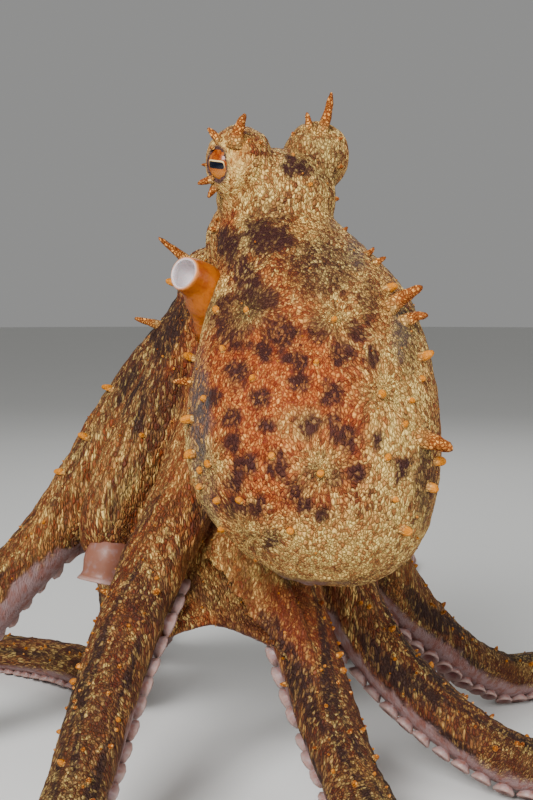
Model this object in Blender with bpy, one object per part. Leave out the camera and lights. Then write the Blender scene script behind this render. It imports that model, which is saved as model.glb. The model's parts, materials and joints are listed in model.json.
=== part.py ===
"""Common octopus at life size, standing tall on its spread arms with the mantle hanging in front.

Units are metres, +Z is up and the animal's back faces -Y. Every shape is worked out in a pose frame whose
origin lies on the floor below the head; the empty octopus_origin then centres the whole footprint.
"""

import math
import random

import bmesh
import bpy
import numpy as np
from mathutils import Matrix, Vector

# The whole animal
SKIN_GAP = 0.0003
CUT_GAP = 0.0004
FLOOR_SINK = 0.0004

# Mantle: a hanging sack with a narrow neck
MANTLE_TOP = 0.300
MANTLE_BOTTOM = 0.1208
MANTLE_WIDTH = 0.1145
MANTLE_DEPTH = 0.094
MANTLE_NECK_SHARE = 0.30
MANTLE_WIDEST = 0.62
MANTLE_FORWARD = -0.060
MANTLE_TOP_X = 0.004
MANTLE_SIDE_SHIFT = 0.0175
MANTLE_APEX_SHIFT = 0.0125
MANTLE_SWELL_POWER = 0.72
MANTLE_ROUND_POWER = 2.2
MANTLE_SHIFT_END = 0.30
MANTLE_HANG_END = 0.72
MANTLE_HANG_POWER = 1.15
MANTLE_RINGS = 16
MANTLE_SIDES = 24

# Head
SKULL_CENTRE = (0.0052, 0.001, 0.299)
SKULL_RADII = (0.0295, 0.0280, 0.0250)
NECK_CENTRE = (0.001, 0.016, 0.275)
NECK_RADII = (0.0320, 0.0300, 0.0340)
ORAL_BULB_CENTRE = (-0.002, 0.030, 0.252)
ORAL_BULB_RADII = (0.0330, 0.0310, 0.0340)
SHOULDER_CENTRE = (-0.021, 0.031, 0.256)
SHOULDER_RADII = (0.0260, 0.0250, 0.0235)
MOUTH_ROOM_RADII = (0.0135, 0.0135, 0.0075)
TURRET_LEFT = (-0.0135, -0.0125, 0.3155)
TURRET_RIGHT = (0.0245, 0.0095, 0.3205)
TURRET_RADII = (0.0165, 0.0170, 0.0180)
HEAD_VOXEL = 0.0034
HEAD_SMOOTH_STEPS = 5
HEAD_FACE_SHARE = 0.185

# Eyes
EYE_RADIUS = 0.0095
EYE_SET_IN = 0.0075
EYE_LEFT_AZIMUTH = 40.0
EYE_RIGHT_AZIMUTH = -110.0
EYE_DIP = 0.12
LID_WIDTH = 0.0124
LID_HEIGHT = 0.0160
LID_RADIUS = 0.0019

# Funnel: its bent centreline, then share of the way and radius of the rings outside and inside
FUNNEL_ROUTE = [
    (-0.0290, -0.0120, 0.2305),
    (-0.0255, -0.0190, 0.2420),
    (-0.0265, -0.0255, 0.2515),
    (-0.0320, -0.0320, 0.2590),
    (-0.0385, -0.0395, 0.2625),
]
FUNNEL_WALL_RINGS = [(0.03, 0.0062), (0.25, 0.0100), (0.50, 0.0127), (0.74, 0.0104), (0.94, 0.0086), (1.0, 0.0080)]
FUNNEL_BORE_RINGS = [(0.97, 0.0067), (0.84, 0.0066), (0.72, 0.0040)]
FUNNEL_SIDES = 18

# Arms
CROWN_CENTRE = (-0.003, 0.029, 0.257)
CROWN_RING = 0.018
ARM_LENGTH = 0.78
ARM_RADIUS = 0.0190
ARM_TIP_RADIUS = 0.0012
ARM_TAPER = 0.80
ARM_START = 0.020
ARM_SIDES = 8
TIP_SIDES = 5
RING_SPACING = 1.9
RING_SPACING_MIN = 0.0152
STEP = 0.002
FLOOR_START_SLACK = 1.04
GUIDE_REACH = 0.05
GUIDE_POINTS = 40
RELAX_ROUNDS = 6
SWAY_TURNS = 1.1
CURL_START = 0.42
SETTLE_LENGTH = 0.03
MIDDLE_SHARE = 0.52

# Suckers, as shares of the arm's radius
SUCKER_ROW_ANGLE = 30.0
SUCKER_SHARE = 0.42
SUCKER_HEIGHT_SHARE = 0.22
SUCKER_SPACING = 2.6
SUCKER_SPACING_MIN = 0.031
SUCKER_SIDES = 5
FIRST_SUCKER = 0.060
LARGE_SUCKER_PLACE = 0.158
LARGE_SUCKER_SPREAD = 0.018
LARGE_SUCKER_EXTRA = 0.40

# The largest sucker of the left third arm, which hangs below its knee: height and radius of its rings
GREAT_SUCKER_ARM = "arm_left_3"
GREAT_SUCKER_ROOT = (-0.0805, 0.0250, 0.1330)
GREAT_SUCKER_AXIS = (-0.16, -0.10, -1.0)
GREAT_SUCKER_RINGS = [(0.0, 0.0060), (0.008, 0.0092), (0.018, 0.0100), (0.0255, 0.0112), (0.0225, 0.0060)]
GREAT_SUCKER_SIDES = 10

# Web between the arms
WEB_TOP = 0.050
WEB_THICKNESS = 0.0042
WEB_SAG = 0.10
WEB_MARGIN = 0.03
WEB_ROWS = 6
WEB_COLUMNS = 4

# Skin colours, linear RGB
SKIN_OCHRE = (0.50, 0.30, 0.12)
SKIN_RUST = (0.42, 0.15, 0.05)
SKIN_OLIVE = (0.34, 0.24, 0.09)
FUNNEL_ORANGE = (0.75, 0.28, 0.03)
EYE_AMBER = (0.70, 0.20, 0.02)


class Arm:
    """One arm: how it leaves the crown, the places it passes and how it lies on the floor.

    azimuth is the place on the crown, clockwise from the viewer's side as seen from above. via holds the
    shoulder, the knee and the foot, the first point that lies on the floor. heading and bend are degrees,
    curl is turns of the tip, positive to the left, and roll turns the suckers to the side near the tip.
    """

    def __init__(self, name, azimuth, via, heading, bend, sway, curl, roll, cut):
        self.name = name
        self.azimuth = math.radians(azimuth)
        self.via = via
        self.heading = heading
        self.bend = bend
        self.sway = sway
        self.curl = curl
        self.roll = roll
        self.cut = cut


ARMS = [
    Arm("arm_left_4", 22.5, [(-0.030, 0.008, 0.180), (-0.066, -0.045, 0.094), (-0.094, -0.165, 0)],
        246, -50, 20, -1.0, 82, 0.235),
    Arm("arm_left_3", 67.5, [(-0.054, 0.026, 0.195), (-0.080, 0.018, 0.138), (-0.078, 0.054, 0.098),
                             (-0.092, 0.125, 0)],
        125, 45, 18, 0.8, -82, 0.182),
    Arm("arm_left_2", 112.5, [(-0.0704, 0.046, 0.193), (-0.1268, 0.036, 0.1113), (-0.232, 0.016, 0)],
        188, -28, 24, 1.4, -82, 0.235),
    Arm("arm_left_1", 157.5, [(-0.030, 0.078, 0.200), (-0.058, 0.140, 0.095), (-0.085, 0.225, 0)],
        105, 35, -26, -0.9, 80, 0.225),
    Arm("arm_right_1", 202.5, [(0.018, 0.080, 0.198), (0.038, 0.140, 0.092), (0.065, 0.220, 0)],
        72, -30, 24, 1.35, -80, 0.225),
    Arm("arm_right_2", 247.5, [(0.040, 0.056, 0.190), (0.074, 0.086, 0.085), (0.150, 0.130, 0)],
        28, 20, -24, -1.05, 82, 0.225),
    Arm("arm_right_3", 292.5, [(0.034, 0.034, 0.185), (0.050, 0.022, 0.080), (0.130, -0.012, 0)],
        -14, 30, 22, 0.85, -82, 0.230),
    Arm("arm_right_4", 337.5, [(0.006, 0.030, 0.172), (0.016, -0.014, 0.090), (0.056, -0.120, 0)],
        -58, 40, -20, -1.35, 80, 0.225),
]

# Web depth along the arms from the crown: at the middle of each gap, and where it meets the arms.
WEB_DEPTHS = {
    ("arm_left_4", "arm_left_3"): (0.158, 0.168),
    ("arm_left_3", "arm_left_2"): (0.148, 0.160),
    ("arm_left_2", "arm_left_1"): (0.160, 0.205),
    ("arm_left_1", "arm_right_1"): (0.165, 0.205),
    ("arm_right_1", "arm_right_2"): (0.165, 0.205),
    ("arm_right_2", "arm_right_3"): (0.165, 0.205),
    ("arm_right_3", "arm_right_4"): (0.172, 0.205),
    ("arm_right_4", "arm_left_4"): (0.180, 0.208),
}


def smooth_step(value):
    """0 below 0, 1 above 1, and a smooth rise between."""
    t = min(1.0, max(0.0, value))
    return t * t * (3 - 2 * t)


def clear_scene():
    """Removes what the startup scene holds."""
    for obj in list(bpy.data.objects):
        bpy.data.objects.remove(obj)


def make_material(name, colour, roughness):
    """A plain principled material."""
    material = bpy.data.materials.new(name)
    material.use_nodes = True
    shader = material.node_tree.nodes["Principled BSDF"]
    shader.inputs["Base Color"].default_value = (*colour, 1.0)
    shader.inputs["Roughness"].default_value = roughness
    shader.inputs["Metallic"].default_value = 0.0
    return material


def to_object(name, bm):
    """A mesh object that holds the bmesh, with its faces pointing out."""
    bmesh.ops.recalc_face_normals(bm, faces=bm.faces)
    mesh = bpy.data.meshes.new(name)
    bm.to_mesh(mesh)
    bm.free()
    obj = bpy.data.objects.new(name, mesh)
    bpy.context.scene.collection.objects.link(obj)
    return obj


def loft(name, rings):
    """A closed body through rings of points, each ring with the same count, its two ends filled."""
    bm = bmesh.new()
    loops = [[bm.verts.new(point) for point in ring] for ring in rings]
    for near, far in zip(loops, loops[1:]):
        count = len(near)
        for k in range(count):
            after = (k + 1) % count
            bm.faces.new((near[k], near[after], far[after]))
            bm.faces.new((near[k], far[after], far[k]))
    bm.faces.new(loops[0][::-1])
    bm.faces.new(loops[-1])
    return to_object(name, bm)


def ellipsoid(name, centre, radii, columns=20, rows=12):
    """A closed ellipsoid with its axes along X, Y and Z."""
    bm = bmesh.new()
    shape = Matrix.Translation(centre) @ Matrix.Diagonal((*radii, 1.0))
    bmesh.ops.create_uvsphere(bm, u_segments=columns, v_segments=rows, radius=1.0, matrix=shape)
    return to_object(name, bm)


def evaluated_copy(obj, name):
    """A new object with the mesh that obj shows with its modifiers applied. obj is removed."""
    graph = bpy.context.evaluated_depsgraph_get()
    mesh = bpy.data.meshes.new_from_object(obj.evaluated_get(graph))
    bpy.data.objects.remove(obj)
    copy = bpy.data.objects.new(name, mesh)
    bpy.context.scene.collection.objects.link(copy)
    return copy


def combine(name, base, others, operation):
    """One Boolean on the whole list of closed objects, applied. The others are removed."""
    if not others:
        base.name = name
        return base
    group = bpy.data.collections.new(name + "_pieces")
    bpy.context.scene.collection.children.link(group)
    for other in others:
        bpy.context.scene.collection.objects.unlink(other)
        group.objects.link(other)
    modifier = base.modifiers.new(operation.lower(), "BOOLEAN")
    modifier.operation = operation
    modifier.operand_type = "COLLECTION"
    modifier.collection = group
    modifier.solver = "MANIFOLD"
    result = evaluated_copy(base, name)
    for other in others:
        bpy.data.objects.remove(other)
    bpy.data.collections.remove(group)
    return result


def duplicate(obj, name, grow=0.0):
    """A copy of obj with every point moved out along its normal by grow."""
    mesh = obj.data.copy()
    copy = bpy.data.objects.new(name, mesh)
    bpy.context.scene.collection.objects.link(copy)
    if grow:
        normals = [vertex.normal.copy() for vertex in mesh.vertices]
        for vertex, normal in zip(mesh.vertices, normals):
            vertex.co += normal * grow
    return copy


def keep_largest(obj):
    """Leaves only the largest closed surface of the object."""
    bm = bmesh.new()
    bm.from_mesh(obj.data)
    waiting = set(bm.verts)
    islands = []
    while waiting:
        island = set()
        edge_of_search = [waiting.pop()]
        while edge_of_search:
            vertex = edge_of_search.pop()
            island.add(vertex)
            for edge in vertex.link_edges:
                other = edge.other_vert(vertex)
                if other in waiting:
                    waiting.discard(other)
                    edge_of_search.append(other)
        islands.append(island)

    def span(island):
        low = [min(v.co[axis] for v in island) for axis in range(3)]
        high = [max(v.co[axis] for v in island) for axis in range(3)]
        return sum((b - a) ** 2 for a, b in zip(low, high))

    largest = max(islands, key=span)
    scraps = [vertex for vertex in bm.verts if vertex not in largest]
    bmesh.ops.delete(bm, geom=scraps, context="VERTS")
    bm.to_mesh(obj.data)
    bm.free()
    return obj


def spike(name, root, direction, length, radius, lean=(0.0, 0.0, 0.0), sides=4):
    """A skin papilla: a blunt cone that bends by lean towards its tip, its root sunk below root."""
    axis = Vector(direction).normalized()
    across = axis.orthogonal().normalized()
    beside = axis.cross(across)
    rings = []
    for along, share in ((-0.35, 1.20), (0.45, 0.72), (1.0, 0.30)):
        middle = Vector(root) + axis * (length * along) + Vector(lean) * (length * max(along, 0.0) ** 2)
        rings.append([
            middle + (across * math.cos(turn) + beside * math.sin(turn)) * (radius * share)
            for turn in (2 * math.pi * k / sides for k in range(sides))
        ])
    return loft(name, rings)


def mantle_profile(t):
    """Centre, half width and half depth of the mantle at t, 0 at the neck and 1 at the apex."""
    if t < MANTLE_WIDEST:
        swell = math.sin(math.pi / 2 * t / MANTLE_WIDEST) ** MANTLE_SWELL_POWER
        share = MANTLE_NECK_SHARE + (1 - MANTLE_NECK_SHARE) * swell
    else:
        past = (t - MANTLE_WIDEST) / (1 - MANTLE_WIDEST)
        share = math.sqrt(max(0.0, 1 - past ** MANTLE_ROUND_POWER))
    forward = math.sin(math.pi / 2 * min(1.0, t / MANTLE_HANG_END)) ** MANTLE_HANG_POWER
    apex = max(0.0, (t - MANTLE_WIDEST) / (1 - MANTLE_WIDEST)) ** 2
    centre = Vector((
        MANTLE_TOP_X + MANTLE_SIDE_SHIFT * smooth_step(t / MANTLE_SHIFT_END) + MANTLE_APEX_SHIFT * apex,
        MANTLE_FORWARD * forward,
        MANTLE_TOP + (MANTLE_BOTTOM - MANTLE_TOP) * t,
    ))
    return centre, MANTLE_WIDTH / 2 * share, MANTLE_DEPTH / 2 * share


def mantle_point(t, angle):
    """A point of the mantle's skin. angle is 0 at the front and 90 degrees at the viewer's right."""
    centre, half_width, half_depth = mantle_profile(t)
    return centre + Vector((half_width * math.sin(angle), -half_depth * math.cos(angle), 0.0))


def mantle_normal(t, angle):
    """The outward direction of the mantle's skin."""
    small = 0.01
    down = mantle_point(min(t + small, 0.999), angle) - mantle_point(t - small, angle)
    across = mantle_point(t, angle + small) - mantle_point(t, angle - small)
    return down.cross(across).normalized()


def make_mantle():
    """The plain mantle, lofted through level rings that close up towards the apex."""
    rings = []
    for step in range(MANTLE_RINGS):
        t = math.sin(math.pi / 2 * step / (MANTLE_RINGS - 1)) ** 0.9 * 0.997
        turns = (2 * math.pi * k / MANTLE_SIDES for k in range(MANTLE_SIDES))
        rings.append([mantle_point(t, turn) for turn in turns])
    return loft("mantle", rings)


def mantle_papillae():
    """Papillae along both edges of the mantle, on its back, and the large ones of the pattern."""
    draw = random.Random(11)
    pieces = []
    # place along the mantle, angle, length, radius
    places = [
        (0.235, 84, 0.0125, 0.0032),
        (0.290, 86, 0.0105, 0.0028),
        (0.720, 80, 0.0125, 0.0042),
        (0.300, 22, 0.0045, 0.0040),
        (0.525, 58, 0.0050, 0.0045),
        (0.760, 5, 0.0050, 0.0042),
        (0.760, -72, 0.0060, 0.0045),
    ]
    for k in range(8):
        places.append((0.36 + 0.068 * k, -86 + 0.8 * k, draw.uniform(0.0045, 0.0065), 0.0024))
    for k in range(6):
        places.append((0.40 + 0.085 * k, 92 - 3 * k, draw.uniform(0.0040, 0.0060), 0.0022))
    for k in range(6):
        angle = draw.uniform(110, 250)
        places.append((0.38 + 0.08 * k, angle, draw.uniform(0.0035, 0.0050), 0.0022))
    for t, degrees, length, radius in places:
        angle = math.radians(degrees)
        normal = mantle_normal(t, angle)
        pieces.append(spike("papilla", mantle_point(t, angle), normal, length, radius, (0.0, 0.0, 0.15)))
    return pieces


def eye_direction(azimuth):
    """The way an eye looks. azimuth is in degrees from the viewer, positive to the viewer's left."""
    turn = math.radians(azimuth)
    return Vector((-math.sin(turn), -math.cos(turn), -EYE_DIP)).normalized()


def eye_centre(turret, azimuth):
    """The centre of an eyeball in its turret."""
    return Vector(turret) + eye_direction(azimuth) * EYE_SET_IN


def make_lid(name, turret, azimuth):
    """The fold of skin round an eye: an oval ring that stands a little proud of the turret."""
    look = eye_direction(azimuth)
    side = look.cross(Vector((0, 0, 1))).normalized()
    up = side.cross(look)
    middle = eye_centre(turret, azimuth) + look * (EYE_RADIUS * 0.70)
    rings = 12
    sides = 5
    bm = bmesh.new()
    loops = []
    for k in range(rings):
        turn = 2 * math.pi * k / rings
        spoke = side * (math.cos(turn) * LID_WIDTH / 2) + up * (math.sin(turn) * LID_HEIGHT / 2)
        out = spoke.normalized()
        loops.append([
            bm.verts.new(middle + spoke + (out * math.cos(a) + look * math.sin(a)) * LID_RADIUS)
            for a in (2 * math.pi * j / sides for j in range(sides))
        ])
    for k in range(rings):
        near, far = loops[k], loops[(k + 1) % rings]
        for j in range(sides):
            bm.faces.new((near[j], near[(j + 1) % sides], far[(j + 1) % sides], far[j]))
    return to_object(name, bm)


def make_plain_head():
    """Skull, neck, oral bulb, left shoulder and the two eye turrets, melted into one smooth body."""
    parts = [
        ellipsoid("skull", SKULL_CENTRE, SKULL_RADII),
        ellipsoid("neck", NECK_CENTRE, NECK_RADII),
        ellipsoid("oral_bulb", ORAL_BULB_CENTRE, ORAL_BULB_RADII),
        ellipsoid("shoulder", SHOULDER_CENTRE, SHOULDER_RADII),
        ellipsoid("turret_left", TURRET_LEFT, TURRET_RADII),
        ellipsoid("turret_right", TURRET_RIGHT, TURRET_RADII),
    ]
    bm = bmesh.new()
    for part in parts:
        bm.from_mesh(part.data)
        bpy.data.objects.remove(part)
    head = to_object("head_parts", bm)
    melt = head.modifiers.new("melt", "REMESH")
    melt.mode = "VOXEL"
    melt.voxel_size = HEAD_VOXEL
    smooth = head.modifiers.new("smooth", "SMOOTH")
    smooth.factor = 0.5
    smooth.iterations = HEAD_SMOOTH_STEPS
    fewer = head.modifiers.new("fewer", "DECIMATE")
    fewer.ratio = HEAD_FACE_SHARE
    return evaluated_copy(head, "head_plain")


def head_papillae():
    """The horns over the eyes and the smaller papillae round them."""
    # root, direction, length, radius, lean
    places = [
        ((-0.0135, -0.0100, 0.3315), (0.0, 0.0, 1.0), 0.0080, 0.0036, (0.45, 0.0, 0.0)),
        ((-0.0245, -0.0100, 0.3290), (-0.3, 0.0, 1.0), 0.0068, 0.0022, (-0.25, 0.0, 0.0)),
        ((0.0285, 0.0100, 0.3370), (0.3, 0.0, 1.0), 0.0145, 0.0036, (0.25, 0.0, 0.0)),
        ((0.0190, 0.0080, 0.3365), (0.0, 0.0, 1.0), 0.0060, 0.0022, (0.0, 0.0, 0.0)),
        ((-0.0285, -0.0140, 0.3060), (-1.0, 0.0, -0.1), 0.0060, 0.0018, (0.0, 0.0, -0.1)),
        ((-0.0255, -0.0130, 0.2995), (-0.8, 0.0, -0.6), 0.0060, 0.0022, (0.0, 0.0, 0.0)),
        ((0.0395, 0.0080, 0.3295), (1.0, 0.0, 0.2), 0.0038, 0.0016, (0.0, 0.0, 0.0)),
        ((0.0395, 0.0080, 0.3140), (1.0, 0.0, -0.1), 0.0055, 0.0022, (0.0, 0.0, 0.0)),
        ((0.0310, 0.0060, 0.3000), (1.0, 0.0, 0.4), 0.0060, 0.0024, (0.0, 0.0, 0.3)),
        ((0.0050, 0.0240, 0.3130), (0.0, 1.0, 0.5), 0.0055, 0.0024, (0.0, 0.0, 0.2)),
        ((0.0150, 0.0260, 0.2980), (0.2, 1.0, 0.3), 0.0050, 0.0022, (0.0, 0.0, 0.2)),
    ]
    return [spike("horn", *place) for place in places]


def make_mouth():
    """The lips round the beak, a low ring under the oral bulb where the arms meet."""
    rings = []
    low = ORAL_BULB_CENTRE[2] - ORAL_BULB_RADII[2]
    for radius, height in ((0.0100, 0.004), (0.0100, -0.0030), (0.0070, -0.0045), (0.0045, -0.0030),
                           (0.0030, 0.0005)):
        rings.append([
            Vector((
                ORAL_BULB_CENTRE[0] + radius * math.cos(turn),
                ORAL_BULB_CENTRE[1] + radius * math.sin(turn),
                low + height,
            ))
            for turn in (2 * math.pi * k / 10 for k in range(10))
        ])
    return loft("lips", rings)


def funnel_ring(share, radius):
    """A ring of points round the funnel's centreline, at a share of the way to its tip."""
    last = len(FUNNEL_ROUTE) - 1
    spot = min(share, 0.9999) * last
    k = int(spot)
    four = [Vector(FUNNEL_ROUTE[min(max(j, 0), last)]) for j in range(k - 1, k + 3)]
    place = Route.between(four, spot - k)
    axis = (Route.between(four, spot - k + 0.01) - place).normalized()
    side = axis.cross(Vector((0, 0, 1))).normalized()
    up = side.cross(axis)
    turns = (2 * math.pi * k / FUNNEL_SIDES for k in range(FUNNEL_SIDES))
    return [place + (side * math.cos(turn) + up * math.sin(turn)) * radius for turn in turns]


def make_funnel():
    """The siphon: a bent, tapering tube with an open, hollow end."""
    return loft("funnel", [funnel_ring(*ring) for ring in FUNNEL_WALL_RINGS + FUNNEL_BORE_RINGS])


def make_funnel_cutter():
    """The funnel's outside, grown by the gap and drawn out past its root."""
    rings = [(0.0, FUNNEL_WALL_RINGS[0][1])] + FUNNEL_WALL_RINGS
    return loft("funnel_cutter", [funnel_ring(share, radius + CUT_GAP) for share, radius in rings])


def arm_radius(distance):
    """The arm's radius at a distance along it from the crown."""
    left = max(0.0, 1 - distance / ARM_LENGTH)
    return ARM_TIP_RADIUS + (ARM_RADIUS - ARM_TIP_RADIUS) * left ** ARM_TAPER


def rest_height(radius, roll):
    """How high an arm's centre lies above the floor when the suckers are turned by roll from straight down."""
    lowest = radius
    for row in (-1, 1):
        angle = roll + row * math.radians(SUCKER_ROW_ANGLE)
        reach = radius * (1 + SUCKER_HEIGHT_SHARE) * math.cos(angle)
        reach += radius * SUCKER_SHARE * abs(math.sin(angle))
        lowest = max(lowest, reach)
    return lowest - FLOOR_SINK


class Route:
    """The centreline of an arm, with the frame that its rings and suckers are set in."""

    def __init__(self, arm):
        self.arm = arm
        points = self.walk(arm)
        steps = np.linalg.norm(np.diff(points, axis=0), axis=1)
        along = np.concatenate([[0.0], np.cumsum(steps)])
        self.distances = np.arange(0.0, ARM_LENGTH, STEP)
        self.points = np.stack([np.interp(self.distances, along, points[:, k]) for k in range(3)], axis=1)
        self.tangents = np.gradient(self.points, axis=0)
        self.tangents /= np.linalg.norm(self.tangents, axis=1)[:, None]

    @staticmethod
    def roll_at(arm, distance, floor_start):
        """The roll of the suckers, zero until the arm lies on the floor."""
        share = (distance - floor_start) / (ARM_LENGTH - floor_start)
        return math.radians(arm.roll) * smooth_step((share - 0.05) / 0.5)

    def walk(self, arm):
        """Points from the crown down to the foot and on along the floor to the tip."""
        radial = Vector((-math.sin(arm.azimuth), -math.cos(arm.azimuth), 0.0))
        root = Vector(CROWN_CENTRE) + radial * CROWN_RING
        foot = Vector(arm.via[-1])
        knots = [root] + [Vector(point) for point in arm.via]
        length = sum((b - a).length for a, b in zip(knots, knots[1:]))
        self.floor_start = length * FLOOR_START_SLACK
        foot.z = rest_height(arm_radius(self.floor_start), 0.0)
        knots[-1] = foot
        heading = math.radians(arm.heading)
        reach = (knots[-1] - knots[-2]).length
        after = foot + Vector((math.cos(heading), math.sin(heading), 0.0)) * reach
        before = root - (radial * 0.5 + Vector((0, 0, -0.8))).normalized() * GUIDE_REACH
        guide = [before] + knots + [after]
        points = []
        for k in range(1, len(guide) - 2):
            for j in range(GUIDE_POINTS):
                points.append(self.between(guide[k - 1:k + 3], j / GUIDE_POINTS))
        points = self.relax(np.array(points))
        done = float(np.linalg.norm(np.diff(points, axis=0), axis=1).sum())
        self.floor_start = done
        place = points[-1].copy()
        points = list(points)
        while done < ARM_LENGTH + STEP:
            share = min(1.0, (done - self.floor_start) / (ARM_LENGTH - self.floor_start))
            turn = arm.heading + arm.bend * share + arm.sway * math.sin(2 * math.pi * share * SWAY_TURNS)
            turn += 360 * arm.curl * max(0.0, (share - CURL_START) / (1 - CURL_START)) ** 2
            direction = np.array([math.cos(math.radians(turn)), math.sin(math.radians(turn))])
            place[:2] += direction * STEP
            done += STEP
            level = rest_height(arm_radius(done), self.roll_at(arm, done, self.floor_start))
            settle = smooth_step((done - self.floor_start) / SETTLE_LENGTH)
            place[2] = place[2] * (1 - settle) + level * settle
            points.append(place.copy())
        return np.array(points)

    @staticmethod
    def between(four, t):
        """Catmull-Rom point between the middle two of four points."""
        a, b, c, d = four
        return (b * 2 + (c - a) * t + (a * 2 - b * 5 + c * 4 - d) * t ** 2
                + (b * 3 - a - c * 3 + d) * t ** 3) * 0.5

    @staticmethod
    def relax(points):
        """Evens out the bends and keeps both ends."""
        for _ in range(RELAX_ROUNDS):
            points[1:-1] = points[1:-1] * 0.5 + (points[:-2] + points[2:]) * 0.25
        return points

    def at(self, distance):
        """Place, direction, the way the suckers face, and the radius at a distance along the arm."""
        index = min(len(self.distances) - 1, max(0.0, distance / STEP))
        low = int(index)
        high = min(low + 1, len(self.distances) - 1)
        share = index - low
        place = Vector(self.points[low] * (1 - share) + self.points[high] * share)
        forward = Vector(self.tangents[low] * (1 - share) + self.tangents[high] * share).normalized()
        inward = Vector(CROWN_CENTRE) - place
        inward.z = 0.0
        inward.normalize()
        facing = Vector((0, 0, -1)) + inward * min(1.6, max(0.0, place.z - 0.03) / 0.05)
        facing = (facing - forward * facing.dot(forward)).normalized()
        roll = self.roll_at(self.arm, distance, self.floor_start)
        facing = Matrix.Rotation(roll, 3, forward) @ facing
        return place, forward, facing, arm_radius(distance)

    def ring(self, distance, sides, grow):
        """A ring of points round the arm, grow outside its skin."""
        place, forward, facing, radius = self.at(distance)
        side = forward.cross(facing)
        return [
            place + (facing * math.cos(turn) + side * math.sin(turn)) * (radius + grow)
            for turn in (2 * math.pi * (k + 0.5) / sides for k in range(sides))
        ]

    def stations(self, start, end):
        """Distances of the rings between start and end, closer together where the arm is thin."""
        found = [start]
        while found[-1] < end:
            found.append(found[-1] + max(RING_SPACING_MIN, RING_SPACING * arm_radius(found[-1])))
        scale = (end - start) / (found[-1] - start)
        return [start + (value - start) * scale for value in found]

    def tube(self, name, start, end, sides):
        """The arm's plain solid from start to end."""
        return loft(name, [self.ring(distance, sides, 0.0) for distance in self.stations(start, end)])

    def cutting_pieces(self):
        """The arm's first length and its suckers, grown by the gap, the length drawn out past both ends."""
        distances = [0.0] + self.stations(ARM_START, self.arm.cut) + [self.arm.cut + WEB_MARGIN]
        rings = [self.ring(distance, ARM_SIDES, CUT_GAP) for distance in distances]
        cups = [self.sucker(*place, CUT_GAP) for place in self.sucker_places(ARM_START, self.arm.cut)]
        return [loft("grown_tube", rings)] + cups + self.great_sucker(CUT_GAP)

    def sucker_places(self, start, end):
        """Distance and row of each sucker between start and end, the two rows in turn."""
        places = []
        distance = FIRST_SUCKER
        row = 1
        while distance < ARM_LENGTH - 0.012:
            if start < distance < end:
                places.append((distance, row))
            row = -row
            distance += max(SUCKER_SPACING_MIN, SUCKER_SPACING * arm_radius(distance))
        return places

    def sucker_share(self, distance):
        """A cup's radius as a share of the arm's. A male's second and third arms have a few large ones."""
        if self.arm.name[-1] not in "23":
            return SUCKER_SHARE
        near = math.exp(-((distance - LARGE_SUCKER_PLACE) / LARGE_SUCKER_SPREAD) ** 2)
        return SUCKER_SHARE * (1 + LARGE_SUCKER_EXTRA * near)

    def sucker(self, distance, row, grow=0.0):
        """One cup, its root sunk into the arm, grow outside its skin."""
        place, forward, facing, radius = self.at(distance)
        out = Matrix.Rotation(row * math.radians(SUCKER_ROW_ANGLE), 3, forward) @ facing
        side = forward.cross(out)
        cup = radius * self.sucker_share(distance)
        rings = []
        for height, width in ((0.55, 0.70), (1 + SUCKER_HEIGHT_SHARE, 1.0)):
            middle = place + out * (radius * height + grow)
            rings.append([
                middle + (forward * math.cos(turn) + side * math.sin(turn)) * (cup * width + 2 * grow)
                for turn in (2 * math.pi * k / SUCKER_SIDES for k in range(SUCKER_SIDES))
            ])
        bm = bmesh.new()
        low, rim = ([bm.verts.new(point) for point in ring] for ring in rings)
        floor = bm.verts.new(place + out * (radius * (1 + 0.25 * SUCKER_HEIGHT_SHARE) + 2 * grow))
        bm.faces.new(low[::-1])
        for k in range(SUCKER_SIDES):
            after = (k + 1) % SUCKER_SIDES
            bm.faces.new((low[k], low[after], rim[after], rim[k]))
            bm.faces.new((rim[k], rim[after], floor))
        return to_object("sucker", bm)

    def great_sucker(self, grow=0.0):
        """The bell below the knee of the arm that has it, grow outside its skin, in a list."""
        if self.arm.name != GREAT_SUCKER_ARM:
            return []
        axis = Vector(GREAT_SUCKER_AXIS).normalized()
        side = axis.orthogonal().normalized()
        beside = axis.cross(side)
        rings = []
        for height, radius in GREAT_SUCKER_RINGS:
            middle = Vector(GREAT_SUCKER_ROOT) + axis * (height + grow)
            rings.append([
                middle + (side * math.cos(turn) + beside * math.sin(turn)) * (radius + grow)
                for turn in (2 * math.pi * k / GREAT_SUCKER_SIDES for k in range(GREAT_SUCKER_SIDES))
            ])
        return [loft("great_sucker", rings)]


def web_frame(near, far, distance):
    """The two arm points at one distance and the web's outward direction."""
    point_a, forward_a, facing_a, _ = near.at(distance)
    point_b, forward_b, facing_b, _ = far.at(distance)
    out = (point_b - point_a).cross(forward_a + forward_b).normalized()
    if out.dot(facing_a + facing_b) > 0:
        out = -out
    return point_a, point_b, out


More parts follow.
